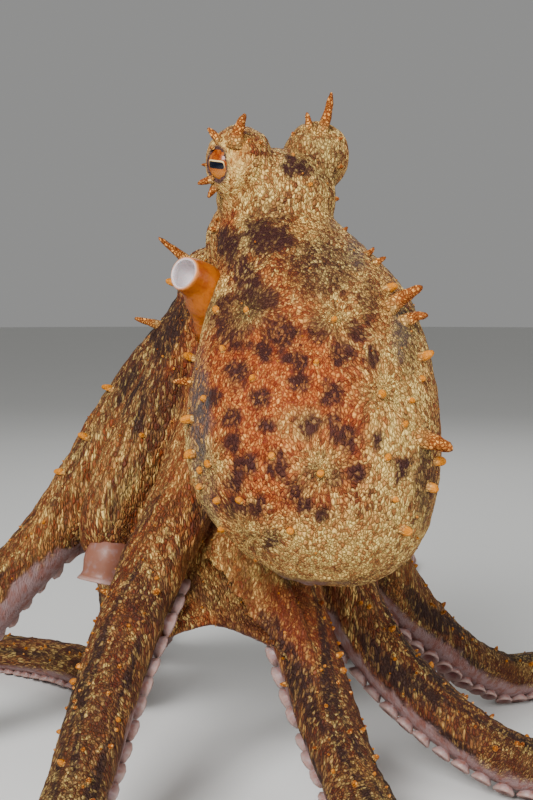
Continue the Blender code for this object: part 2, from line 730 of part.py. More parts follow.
def make_web_slab(name, near, far):
    """The web between two neighbouring arms, from centreline to centreline, with a hollow lower edge."""
    middle_depth, arm_depth = WEB_DEPTHS[(near.arm.name, far.arm.name)]
    bm = bmesh.new()
    faces = []
    for face in (1, -1):
        grid = []
        for row in range(WEB_ROWS + 1):
            line = []
            for column in range(WEB_COLUMNS + 1):
                u = column / WEB_COLUMNS
                edge = middle_depth + (arm_depth - middle_depth) * abs(2 * u - 1) ** 1.7
                a, b, out = web_frame(near, far, WEB_TOP + (edge - WEB_TOP) * row / WEB_ROWS)
                sag = WEB_SAG * (b - a).length * 4 * u * (1 - u)
                line.append(bm.verts.new(a.lerp(b, u) + out * (face * WEB_THICKNESS / 2 - sag)))
            grid.append(line)
        faces.append(grid)
    top, bottom = faces
    for row in range(WEB_ROWS):
        for column in range(WEB_COLUMNS):
            for grid in faces:
                corner, beside = grid[row][column], grid[row][column + 1]
                below, across = grid[row + 1][column], grid[row + 1][column + 1]
                bm.faces.new((corner, beside, across))
                bm.faces.new((corner, across, below))
    for row in range(WEB_ROWS):
        for column in (0, WEB_COLUMNS):
            bm.faces.new((top[row][column], top[row + 1][column], bottom[row + 1][column], bottom[row][column]))
    for column in range(WEB_COLUMNS):
        for row in (0, WEB_ROWS):
            bm.faces.new((top[row][column], top[row][column + 1], bottom[row][column + 1], bottom[row][column]))
    return to_object(name, bm)


def floor_cutter():
    """Everything below the floor."""
    bm = bmesh.new()
    bmesh.ops.create_cube(bm, size=1.0, matrix=Matrix.Translation((0, 0, -0.5)) @ Matrix.Diagonal((3, 3, 1, 1)))
    return to_object("below_floor", bm)


def cut(solid, cutters):
    """Takes each cutter away from the solid in turn. The cutters are removed."""
    for cutter in cutters:
        solid = combine(solid.name, solid, [cutter], "DIFFERENCE")
    return solid


def make_arms(body_cutters, skins):
    """The three lengths of each arm and the webs between them, each clear of what is made before it."""
    routes = [Route(arm) for arm in ARMS]
    made = []
    for k, route in enumerate(routes):
        arm = route.arm
        middle_end = arm.cut + MIDDLE_SHARE * (ARM_LENGTH - arm.cut)
        ends = [(ARM_START, arm.cut), (arm.cut + SKIN_GAP, middle_end),
                (middle_end + SKIN_GAP, ARM_LENGTH - STEP)]
        for part, (start, end) in zip(("base", "middle", "tip"), ends):
            sides = TIP_SIDES if part == "tip" else ARM_SIDES
            solid = route.tube(f"{arm.name}_{part}", start, end, sides)
            margin = arm_radius(start) * SUCKER_SHARE + SKIN_GAP
            suckers = [route.sucker(*place) for place in route.sucker_places(start + margin, end - margin)]
            if part == "base":
                suckers += route.great_sucker()
            solid = combine(solid.name, solid, suckers, "UNION")
            if part == "base":
                before = [piece for other in routes[:k] for piece in other.cutting_pieces()]
                solid = cut(solid, [duplicate(cutter, "cutter") for cutter in body_cutters] + before)
            else:
                solid = cut(solid, [floor_cutter()])
            solid.data.materials.clear()
            solid.data.materials.append(skins[part])
            made.append(keep_largest(solid))
    for k, route in enumerate(routes):
        after = routes[(k + 1) % len(routes)]
        near, far = route.arm.name[4:], after.arm.name[4:]
        web = make_web_slab(f"web_{near}_{far}", route, after)
        pieces = [piece for other in routes for piece in other.cutting_pieces()]
        web = cut(web, [duplicate(cutter, "cutter") for cutter in body_cutters] + pieces)
        web.data.materials.clear()
        web.data.materials.append(skins["base"])
        made.append(keep_largest(web))
    return made


def footprint_centre(nodes):
    """The middle of the box round all nodes, on the floor."""
    places = [vertex.co for obj in nodes for vertex in obj.data.vertices]
    middle = Vector((0, 0, 0))
    for axis in (0, 1):
        values = [place[axis] for place in places]
        middle[axis] = (min(values) + max(values)) / 2
    return middle


def main():
    """Builds every node and parents it to the empty that centres the footprint."""
    clear_scene()
    ochre = make_material("skin_ochre", SKIN_OCHRE, 0.5)
    rust = make_material("skin_rust", SKIN_RUST, 0.5)
    olive = make_material("skin_olive", SKIN_OLIVE, 0.5)
    orange = make_material("funnel_orange", FUNNEL_ORANGE, 0.4)
    amber = make_material("eye_amber", EYE_AMBER, 0.1)

    plain_head = make_plain_head()
    head_cutter = duplicate(plain_head, "head_cutter", CUT_GAP)
    eyes = []
    sockets = []
    lids = []
    for side, turret, azimuth in (("left", TURRET_LEFT, EYE_LEFT_AZIMUTH),
                                  ("right", TURRET_RIGHT, EYE_RIGHT_AZIMUTH)):
        centre = eye_centre(turret, azimuth)
        eyes.append(ellipsoid("eye_" + side, centre, [EYE_RADIUS] * 3, 14, 9))
        sockets.append(ellipsoid("socket", centre, [EYE_RADIUS + CUT_GAP] * 3, 14, 9))
        lids.append(make_lid("lid", turret, azimuth))
    head = combine("head_full", plain_head, head_papillae() + lids + [make_mouth()], "UNION")
    head = keep_largest(combine("head", head, sockets, "DIFFERENCE"))

    plain_mantle = make_mantle()
    mantle_cutter = duplicate(plain_mantle, "mantle_cutter", CUT_GAP)
    mantle = combine("mantle_full", plain_mantle, mantle_papillae(), "UNION")
    mantle = keep_largest(combine("mantle", mantle, [duplicate(head_cutter, "cutter")], "DIFFERENCE"))

    funnel_cutter = make_funnel_cutter()
    funnel = cut(make_funnel(), [duplicate(cutter, "cutter") for cutter in (head_cutter, mantle_cutter)])
    funnel = keep_largest(funnel)

    mouth_place = (ORAL_BULB_CENTRE[0], ORAL_BULB_CENTRE[1], ORAL_BULB_CENTRE[2] - ORAL_BULB_RADII[2])
    mouth_room = ellipsoid("mouth_room", mouth_place, MOUTH_ROOM_RADII)
    cutters = [head_cutter, mouth_room, mantle_cutter, funnel_cutter]
    arms = make_arms(cutters, {"base": rust, "middle": ochre, "tip": olive})
    for cutter in cutters:
        bpy.data.objects.remove(cutter)

    for obj, material in ((head, ochre), (mantle, rust), (funnel, orange), (eyes[0], amber), (eyes[1], amber)):
        obj.data.materials.clear()
        obj.data.materials.append(material)

    nodes = [head, mantle, funnel, *eyes, *arms]
    origin = bpy.data.objects.new("octopus_origin", None)
    origin.location = -footprint_centre(nodes)
    bpy.context.scene.collection.objects.link(origin)
    for obj in nodes:
        obj.parent = origin


if __name__ == "__main__":
    main()
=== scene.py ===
"""Looks of the common octopus: one warty skin, suckers, papillae, eyes and funnel over the solid frame.

Places are worked out in the pose frame, whose origin lies on the floor below the head, and are shifted to the
frame's own origin by where the left eye's solid is.
"""

import json
import logging
import math
import random
from dataclasses import dataclass, field
from enum import Enum

import bmesh
import bpy
import numpy as np
from mathutils import Matrix, Vector, kdtree, noise

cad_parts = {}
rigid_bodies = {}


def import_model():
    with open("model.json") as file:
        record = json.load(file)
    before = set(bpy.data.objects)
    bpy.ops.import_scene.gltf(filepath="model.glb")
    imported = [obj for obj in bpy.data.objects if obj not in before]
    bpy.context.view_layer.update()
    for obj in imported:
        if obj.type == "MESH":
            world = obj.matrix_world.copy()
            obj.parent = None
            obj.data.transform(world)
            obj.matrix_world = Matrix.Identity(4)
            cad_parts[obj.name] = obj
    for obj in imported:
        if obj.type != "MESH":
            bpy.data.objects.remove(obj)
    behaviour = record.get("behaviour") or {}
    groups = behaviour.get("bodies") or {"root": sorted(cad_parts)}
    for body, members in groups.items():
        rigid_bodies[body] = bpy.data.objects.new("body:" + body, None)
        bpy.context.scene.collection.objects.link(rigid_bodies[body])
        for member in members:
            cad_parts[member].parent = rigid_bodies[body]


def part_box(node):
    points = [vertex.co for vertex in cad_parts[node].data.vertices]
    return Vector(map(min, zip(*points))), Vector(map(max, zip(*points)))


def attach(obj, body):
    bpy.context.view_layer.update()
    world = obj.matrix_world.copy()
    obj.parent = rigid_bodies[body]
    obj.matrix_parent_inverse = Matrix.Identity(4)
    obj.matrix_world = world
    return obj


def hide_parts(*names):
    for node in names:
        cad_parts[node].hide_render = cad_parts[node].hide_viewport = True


LOG = logging.getLogger("octopus")

# Arms, as in the solids
CROWN_CENTRE = (-0.003, 0.029, 0.257)
CROWN_RING = 0.018
ARM_LENGTH = 0.78
ARM_RADIUS = 0.0190
ARM_TIP_RADIUS = 0.0012
ARM_TAPER = 0.80
STEP = 0.002
SPAN_STEPS = 40
SMOOTH_ROUNDS = 6
ROUTE_SLACK = 1.04
SWAY_WAVES = 1.1
CURL_START = 0.42
CURL_LENGTH = 0.58
SETTLE_LENGTH = 0.03
FLOOR_SINK = 0.0004
SUCKER_ROW_ANGLE = 30.0
SUCKER_SHARE = 0.42
SUCKER_HEIGHT_SHARE = 0.22
LARGE_SUCKER_PLACE = 0.158
LARGE_SUCKER_SPREAD = 0.018
LARGE_SUCKER_EXTRA = 0.40
WEB_TOP = 0.030
WEB_SAG = 0.10
WEB_EDGE_POWER = 1.7
FACING_EASE = 0.04
FACING_FLOOR = 0.03
FACING_RISE = 0.05
FACING_MAX = 1.6

# Resolution of the skin
SKIN_VOXEL = 0.00135
SKIN_SMOOTH_STEPS = 16
ARM_JOIN = 0.262
ARM_JOIN_OVERLAP = 0.012
ARM_JOIN_INSET = 0.0012
TUBE_SIDES = 34
TUBE_RING = 0.0020

# How far the skin's cells are drawn out down the body, and more so from the skirt's top on
STRETCH = 0.60
SKIRT_STRETCH = 0.30
SKIRT_TOP = 0.25
SKIRT_EASE = 0.02
ARM_EASE = 0.03
ARM_LAYING = 0.06

# Pink skin: how near a web's middle a point takes the web's side, and how far out it has none
WEB_SKIN = 0.0045
WEB_SKIN_EASE = 0.0025
WEB_REACH = 0.019
WEB_REACH_EASE = 0.009
WEB_OUTSIDE = 0.004

# Wrinkles: heights in metres, and how many noise cells go to a metre along each axis
LUMP_HEIGHT = 0.00062
LUMP_SCALE = (185.0, 185.0, 105.0)
FOLD_HEIGHT = 0.0007
FOLD_SCALE = (120.0, 120.0, 26.0)
RING_HEIGHT = 0.0010
RAY_DEPTH = 0.0009
STAR_HEIGHT = 0.0014
RIDGE_HEIGHT = 0.0013
WOBBLE_SCALE = (210.0, 210.0, 150.0)
BROAD_SCALE = (58.0, 58.0, 34.0)
DRIFT_SCALE = (22.0, 22.0, 14.0)

# Heights between which the head's skin begins, and the one where its piece does
NECK_LOW = 0.258
NECK_HIGH = 0.272
HEAD_START = 0.262

# Finding the skin's point at a pixel: what facing away adds to its distance, and how near is near enough
FACING_AWAY = 0.15
HIDDEN_PIXELS = 60.0
CLOSE_PIXELS = 2.6
SPARE_PIXELS = 0.6
FAR = 99.0

# Colours, linear RGB
CREAM = (0.70, 0.40, 0.120)
TAN = (0.40, 0.165, 0.038)
# Palest skin cells: partly their own straw colour, partly painted highlight of the granules
STRAW_AND_HIGHLIGHT = (0.88, 0.62, 0.19)
SAND = (0.78, 0.34, 0.080)
OCHRE = (0.46, 0.145, 0.010)
RUST = (0.20, 0.030, 0.004)
UMBER = (0.10, 0.030, 0.009)
ORANGE = (0.50, 0.135, 0.023)
MAROON = (0.036, 0.0095, 0.0075)
BROWN = (0.034, 0.0105, 0.004)
DARK_RED = (0.130, 0.0120, 0.003)
OLIVE = (0.15, 0.090, 0.018)
DUSK = (0.022, 0.0090, 0.007)
SLATE = (0.060, 0.056, 0.055)
LILAC = (0.235, 0.150, 0.145)
ROSE = (0.20, 0.082, 0.066)
BELL_ROSE = (0.200, 0.080, 0.050)
SUCKER_RIM = (0.38, 0.26, 0.225)
# Painted shade for the cups' hollows and the great sucker's root
SUCKER_SHADE = (0.14, 0.034, 0.030)
# Painted shade of the lid's fold round the eyeball
LID_SHADE = (0.075, 0.034, 0.030)
KNOB_ORANGE = (0.44, 0.140, 0.001)
HORN_BROWN = (0.26, 0.085, 0.020)
FUNNEL_ORANGE = (0.27, 0.058, 0.002)
FUNNEL_AMBER = (0.38, 0.098, 0.003)
FUNNEL_WHITE = (0.70, 0.68, 0.72)
IRIS_ORANGE = (0.27, 0.058, 0.003)
IRIS_DARK = (0.16, 0.024, 0.002)
IRIS_GOLD = (0.52, 0.190, 0.026)
PUPIL_EDGE = (0.74, 0.52, 0.22)
PUPIL_BLACK = (0.002, 0.003, 0.008)
FLOOR_PALE = (0.70, 0.70, 0.68)

# Markings, by where the photograph shows them: column, row, half width and half height in its pixels, and
# strength. The spots have one radius, the stars and the ridge only a column and a row.
MAROON_SPOTS = [
    (232, 331, 17), (283, 334, 17), (319, 329, 13), (264, 352, 10), (298, 359, 13), (342, 352, 14),
    (237, 376, 13), (258, 398, 10), (300, 382, 10), (333, 396, 12), (231, 419, 10), (308, 424, 13),
    (333, 424, 9), (233, 442, 11), (346, 440, 13), (245, 464, 12), (277, 468, 12), (312, 474, 9),
    (334, 475, 10), (357, 472, 9), (235, 480, 11), (256, 507, 10), (296, 491, 12), (304, 503, 9),
    (323, 514, 8), (271, 540, 9), (233, 508, 10), (260, 233, 15), (280, 237, 13), (232, 243, 14),
    (290, 165, 9), (302, 169, 9), (250, 292, 15), (221, 300, 12), (244, 268, 12), (356, 330, 11),
    (372, 356, 9), (380, 440, 8), (402, 470, 10), (268, 427, 9), (212, 398, 9), (270, 300, 11),
]
PALE_FIELDS = [
    (225, 182, 24, 32, 1.0), (318, 150, 32, 38, 0.60), (262, 188, 22, 32, 0.7), (335, 546, 92, 36, 1.0),
    (300, 572, 80, 14, 1.0), (398, 430, 34, 120, 0.85), (412, 520, 24, 50, 0.9), (352, 296, 56, 36, 0.3),
    (300, 425, 28, 20, 0.6), (202, 470, 16, 30, 0.7), (245, 215, 10, 34, 0.8), (320, 210, 30, 40, 0.45),
    (120, 470, 40, 60, 0.35), (60, 730, 40, 80, 0.30), (222, 572, 46, 48, 0.85),
]
RED_FIELDS = [
    (280, 408, 100, 132, 1.0), (268, 610, 70, 60, 0.95), (212, 560, 36, 60, 0.75), (186, 450, 26, 60, 0.45),
    (225, 210, 14, 24, 0.5),
]
DARK_FIELDS = [
    (262, 240, 14, 24, 0.9), (284, 240, 12, 16, 0.7), (230, 246, 13, 20, 0.7), (252, 302, 20, 26, 0.75),
    (216, 312, 14, 18, 0.6), (166, 322, 20, 34, 0.85), (132, 400, 14, 34, 0.5), (368, 300, 12, 26, 0.6),
    (408, 340, 12, 40, 0.6), (424, 480, 12, 46, 0.75), (293, 166, 14, 10, 0.7), (150, 600, 24, 30, 0.5),
    (330, 236, 10, 20, 0.4), (345, 262, 10, 22, 0.45), (322, 268, 40, 34, 0.75), (272, 225, 20, 28, 0.45),
    (326, 160, 20, 28, 0.48), (300, 150, 30, 20, 0.30),
]
SLATE_FIELDS = [
    (200, 420, 11, 64, 1.0), (400, 330, 10, 30, 0.6), (210, 505, 10, 30, 0.5), (356, 250, 10, 22, 0.4),
]
MANTLE_STARS = [
    (334, 316), (384, 392), (319, 467), (208, 464), (245, 310), (245, 530),
]
STAR_REACH = 0.018
STAR_CORE = 0.0012
STAR_POWER = 0.34
STAR_FADE = 0.0160
STAR_PALE = 0.0085
STAR_TOP = 0.0042
RIDGE_PIXELS = 4.5
RIDGE_FRONT = -0.012
SIDE_RIDGE = [
    (222, 283), (203, 322), (190, 356), (184, 400), (187, 450), (200, 496), (226, 540), (262, 568),
    (305, 580), (350, 579),
]

# Papillae that the photograph shows: root and tip in its pixels, and the root's radius in millimetres
SHOWN_PAPILLAE = [
    (235, 140, 240, 117, 3.6), (217, 139, 209, 125, 2.2), (322, 128, 334, 94, 2.9),
    (308, 126, 306, 111, 2.0), (209, 180, 196, 181, 1.9), (214, 189, 205, 197, 2.1),
    (204, 166, 198, 164, 1.3), (341, 139, 348, 136, 1.6), (342, 168, 350, 168, 1.9),
    (338, 199, 346, 201, 2.0), (217, 219, 209, 221, 1.6), (215, 229, 206, 230, 1.7),
    (262, 144, 262, 138, 1.6), (249, 141, 249, 137, 1.3), (292, 134, 291, 128, 1.6),
    (212, 148, 206, 146, 1.3), (368, 252, 377, 249, 1.6), (377, 261, 386, 258, 1.9),
    (389, 288, 399, 283, 1.9), (394, 305, 417, 285, 3.9), (408, 320, 427, 311, 3.1),
    (422, 355, 434, 353, 2.1), (423, 378, 432, 376, 1.9), (425, 437, 451, 446, 4.2),
    (437, 461, 449, 461, 2.2), (430, 489, 440, 492, 2.1), (405, 531, 415, 535, 2.1),
    (192, 358, 183, 355, 2.1), (190, 382, 173, 381, 2.3), (190, 420, 179, 420, 1.9),
    (192, 453, 181, 453, 2.1), (199, 472, 190, 472, 2.1), (200, 488, 192, 490, 1.9),
    (216, 500, 208, 502, 2.1), (221, 530, 213, 534, 2.1), (185, 258, 160, 241, 2.6),
    (166, 286, 155, 284, 1.9), (150, 320, 127, 315, 2.4), (110, 388, 101, 383, 1.8),
    (86, 437, 78, 433, 1.8), (143, 437, 136, 434, 1.6), (62, 470, 54, 468, 1.7), (202, 398, 203, 392, 1.9),
    (216, 310, 217, 304, 2.2), (222, 349, 222, 343, 1.9), (250, 378, 250, 372, 1.8),
    (271, 456, 271, 450, 2.0), (239, 501, 239, 495, 2.0), (290, 532, 290, 526, 2.0),
    (388, 458, 390, 452, 2.2), (320, 474, 320, 466, 2.2), (334, 318, 335, 312, 2.0),
    (384, 394, 386, 388, 2.3), (315, 363, 315, 359, 1.6), (208, 466, 206, 460, 2.3),
    (345, 228, 352, 226, 1.6), (246, 310, 245, 304, 1.8), (412, 400, 418, 399, 1.8),
    (406, 424, 413, 424, 2.0), (396, 500, 404, 502, 1.8),
]


class Region(Enum):
    """The pieces that the body's one skin is handed over in, and the solids that each stands for."""

    MANTLE = ("mantle",)
    HEAD = ("head",)
    LEFT_FRONT = ("arm_left_4_base", "arm_left_3_base", "web_left_4_left_3", "web_right_4_left_4")
    LEFT_BACK = ("arm_left_2_base", "arm_left_1_base", "web_left_3_left_2", "web_left_2_left_1")
    RIGHT_BACK = ("arm_right_1_base", "arm_right_2_base", "web_left_1_right_1", "web_right_1_right_2")
    RIGHT_FRONT = ("arm_right_3_base", "arm_right_4_base", "web_right_2_right_3", "web_right_3_right_4")


ARM_REGIONS = [Region.LEFT_FRONT, Region.LEFT_FRONT, Region.LEFT_BACK, Region.LEFT_BACK, Region.RIGHT_BACK,
               Region.RIGHT_BACK, Region.RIGHT_FRONT, Region.RIGHT_FRONT]


@dataclass(frozen=True)
class Viewer:
    """The photograph's camera, in the pose frame."""

    target: tuple = (0.0, 0.0, 0.20)
    distance: float = 0.60
    elevation: float = 5.0
    lens: float = 54.0
    sensor: float = 36.0
    width: int = 533
    height: int = 800

    def axes(self) -> tuple:
        """The camera's place, right, up and forward, as arrays."""
        lift = math.radians(self.elevation)
        forward = np.array([0.0, math.cos(lift), -math.sin(lift)])
        up = np.array([0.0, math.sin(lift), math.cos(lift)])
        return np.array(self.target) - forward * self.distance, np.array([1.0, 0.0, 0.0]), up, forward

    def project(self, points: np.ndarray) -> tuple:
        """Where points fall in the photograph.

        Args:
            points: places in the pose frame, one a row.

        Returns:
            Their pixel columns, pixel rows and depths.
        """
        place, right, up, forward = self.axes()
        away = points - place
        depth = away @ forward
        focal = self.lens / self.sensor * self.height
        column = self.width / 2 + focal * (away @ right) / depth
        return column, self.height / 2 - focal * (away @ up) / depth, depth

    def pixel_size(self, depth: float) -> float:
        """Metres to a pixel at a depth."""
        return depth / (self.lens / self.sensor * self.height)


@dataclass
class Arm:
    """One arm's name, its place on the crown, the points it passes and how it lies on the floor."""

    name: str
    azimuth: float
    via: list
    heading: float
    bend: float
    sway: float
    curl: float
    roll: float


ARMS = [
    Arm("arm_left_4", 22.5, [(-0.030, 0.008, 0.180), (-0.066, -0.045, 0.094), (-0.094, -0.165, 0)],
        246, -50, 20, -1.0, 82),
    Arm("arm_left_3", 67.5, [(-0.054, 0.026, 0.195), (-0.080, 0.018, 0.138), (-0.078, 0.054, 0.098),
                             (-0.092, 0.125, 0)],
        125, 45, 18, 0.8, -82),
    Arm("arm_left_2", 112.5, [(-0.0704, 0.046, 0.193), (-0.1268, 0.036, 0.1113), (-0.232, 0.016, 0)],
        188, -28, 24, 1.4, -82),
    Arm("arm_left_1", 157.5, [(-0.030, 0.078, 0.200), (-0.058, 0.140, 0.095), (-0.085, 0.225, 0)],
        105, 35, -26, -0.9, 80),
    Arm("arm_right_1", 202.5, [(0.018, 0.080, 0.198), (0.038, 0.140, 0.092), (0.065, 0.220, 0)],
        72, -30, 24, 1.35, -80),
    Arm("arm_right_2", 247.5, [(0.040, 0.056, 0.190), (0.074, 0.086, 0.085), (0.150, 0.130, 0)],
        28, 20, -24, -1.05, 82),
    Arm("arm_right_3", 292.5, [(0.034, 0.034, 0.185), (0.050, 0.022, 0.080), (0.130, -0.012, 0)],
        -14, 30, 22, 0.85, -82),
    Arm("arm_right_4", 337.5, [(0.006, 0.030, 0.172), (0.016, -0.014, 0.090), (0.056, -0.120, 0)],
        -58, 40, -20, -1.35, 80),
]

# Web depth along the arms, at the middle of each gap and where it meets the arms, from one arm to the next
WEB_DEPTHS = [(0.158, 0.168), (0.148, 0.160), (0.160, 0.205), (0.165, 0.205), (0.165, 0.205), (0.165, 0.205),
              (0.172, 0.205), (0.180, 0.208)]

# The way in which an arm's cups are turned aside, as the photograph shows it
SHOWN_LEAN = {"arm_left_2": (0.0, 1.1, 0.2)}

# Lamps: name, how far from the animal's middle, size in metres and power in watts
LAMPS = [
    ("key", (-0.45, -1.0, 0.70), 0.5, 30.5),
    ("fill", (0.95, -0.75, 0.35), 0.8, 10.5),
    ("back", (0.2, 1.2, 0.9), 0.9, 5.0),
]


def smooth_step(value: float) -> float:
    """0 below 0, 1 above 1, and a smooth rise between."""
    t = min(1.0, max(0.0, value))
    return t * t * (3 - 2 * t)


def smooth_steps(values: np.ndarray, low: float, high: float) -> np.ndarray:
    """A smooth rise from 0 at low to 1 at high, for a whole array."""
    t = np.clip((values - low) / (high - low), 0.0, 1.0)
    return t * t * (3 - 2 * t)


def noise_field(points: np.ndarray, scale: tuple, octaves: int, seed: float) -> np.ndarray:
    """Fractal noise of about -1 to 1 at each point.

    Args:
        points: places, one a row.
        scale: how many noise cells go to a metre along each axis.
        octaves: how many layers are added.
        seed: shifts the pattern.
    """
    stretched = points * np.array(scale) + seed
    return np.array([noise.fractal(Vector(point), 1.0, 2.0, octaves) for point in stretched])


class Wire:
    """A node's output that takes part in sums written in Python."""

    def __init__(self, shop: "Shop", socket: bpy.types.NodeSocket) -> None:
        """Wraps the socket."""
        self.shop = shop
        self.socket = socket

    def _sum(self, operation: str, first: object, second: object) -> "Wire":
        """A Math node on two values."""
        return self.shop.node("ShaderNodeMath", {"operation": operation}, {0: first, 1: second})

    def __add__(self, other: object) -> "Wire":
        """Sum."""
        return self._sum("ADD", self, other)

    def __radd__(self, other: object) -> "Wire":
        """Sum."""
        return self._sum("ADD", other, self)

    def __sub__(self, other: object) -> "Wire":
        """Difference."""
        return self._sum("SUBTRACT", self, other)

    def __rsub__(self, other: object) -> "Wire":
        """Difference, the wire taken away."""
        return self._sum("SUBTRACT", other, self)

    def __mul__(self, other: object) -> "Wire":
        """Product."""
        return self._sum("MULTIPLY", self, other)

    def __rmul__(self, other: object) -> "Wire":
        """Product."""
        return self._sum("MULTIPLY", other, self)

    def __pow__(self, other: object) -> "Wire":
        """Power."""
        return self._sum("POWER", self, other)

    def between(self, low: float, high: float) -> "Wire":
        """A smooth rise from 0 at low to 1 at high."""
        settings = {"interpolation_type": "SMOOTHSTEP"}
        values = {"Value": self, "From Min": low, "From Max": high}
        return self.shop.node("ShaderNodeMapRange", settings, values)


class Shop:
    """Makes one material's nodes."""

    def __init__(self, name: str, **constants: float) -> None:
        """Starts a principled material.

        Args:
            name: the material's name.
            constants: values of the shader's sockets, with _ for a space.
        """
        self.material = bpy.data.materials.new(name)
        self.material.use_nodes = True
        self.tree = self.material.node_tree
        self.shader = self.tree.nodes["Principled BSDF"]
        for key, value in constants.items():
            self.shader.inputs[key.replace("_", " ")].default_value = value

    def node(self, kind: str, settings: dict, values: dict, output: object = 0) -> Wire:
        """Adds a node, sets what it is, then its sockets.

        Args:
            kind: the node's type.
            settings: its own options, which are set first.
            values: socket names or numbers to a number, a colour or a Wire.
            output: name or number of the output that is wanted.

        Returns:
            That output.
        """
        node = self.tree.nodes.new(kind)
        for key, value in settings.items():
            setattr(node, key, value)
        for key, value in values.items():
            if isinstance(value, Wire):
                self.tree.links.new(value.socket, node.inputs[key])
            else:
                node.inputs[key].default_value = value
        return Wire(self, node.outputs[output])

    def mix(self, factor: object, near: object, far: object) -> Wire:
        """A colour from near at factor 0 to far at factor 1."""
        ends = [(*colour, 1.0) if isinstance(colour, tuple) else colour for colour in (near, far)]
        return self.node("ShaderNodeMix", {"data_type": "RGBA"}, {0: factor, 6: ends[0], 7: ends[1]}, 2)

    def coats(self, colour: object, *coats: tuple) -> Wire:
        """Lays coats over a colour, one after another.

        Args:
            colour: the ground.
            coats: how much each coat covers, and its colour.
        """
        for share, coat in coats:
            colour = self.mix(share, colour, coat)
        return colour

    def attribute(self, name: str, output: str = "Fac") -> Wire:
        """The mesh's own value of that name."""
        return self.node("ShaderNodeAttribute", {"attribute_name": name}, {}, output)

    def attributes(self, *names: str) -> list:
        """The mesh's own values of those names."""
        return [self.attribute(name) for name in names]

    def place(self) -> Wire:
        """Object coordinates."""
        return self.node("ShaderNodeTexCoord", {}, {}, "Object")

    def squeeze(self, place: Wire, factors: tuple) -> Wire:
        """Coordinates multiplied by a factor along each axis."""
        return self.node("ShaderNodeVectorMath", {"operation": "MULTIPLY"}, {0: place, 1: factors})

    def bend(self, place: Wire, scale: float, amount: float) -> Wire:
        """Coordinates pushed about by noise, so that cells and lines aren't even."""
        values = {0: self.cloud(place, scale, 2.0, "Color"), 1: (amount,) * 3, 2: place}
        return self.node("ShaderNodeVectorMath", {"operation": "MULTIPLY_ADD"}, values)

    def cloud(self, place: Wire, scale: float, detail: float = 3.0, output: object = 0) -> Wire:
        """Soft noise of 0 to 1."""
        values = {"Vector": place, "Scale": scale, "Detail": detail}
        return self.node("ShaderNodeTexNoise", {}, values, output)

    def chance(self, place: Wire, scale: float) -> Wire:
        """A number of 0 to 1 drawn for each Voronoi cell."""
        return self.node("ShaderNodeTexVoronoi", {}, {"Vector": place, "Scale": scale}, "Color")

    def edge(self, place: Wire, scale: float) -> Wire:
        """Distance to the nearest edge between Voronoi cells."""
        settings = {"feature": "DISTANCE_TO_EDGE"}
        return self.node("ShaderNodeTexVoronoi", settings, {"Vector": place, "Scale": scale}, "Distance")

    def feed(self, socket: str, wire: Wire) -> None:
        """Leads a wire to one of the shader's sockets."""
        self.tree.links.new(wire.socket, self.shader.inputs[socket])

    def raise_by(self, height: Wire, distance: float) -> None:
        """Feeds the normal with a bump: height 1 stands distance metres high."""
        self.feed("Normal", self.node("ShaderNodeBump", {}, {"Height": height, "Distance": distance}))


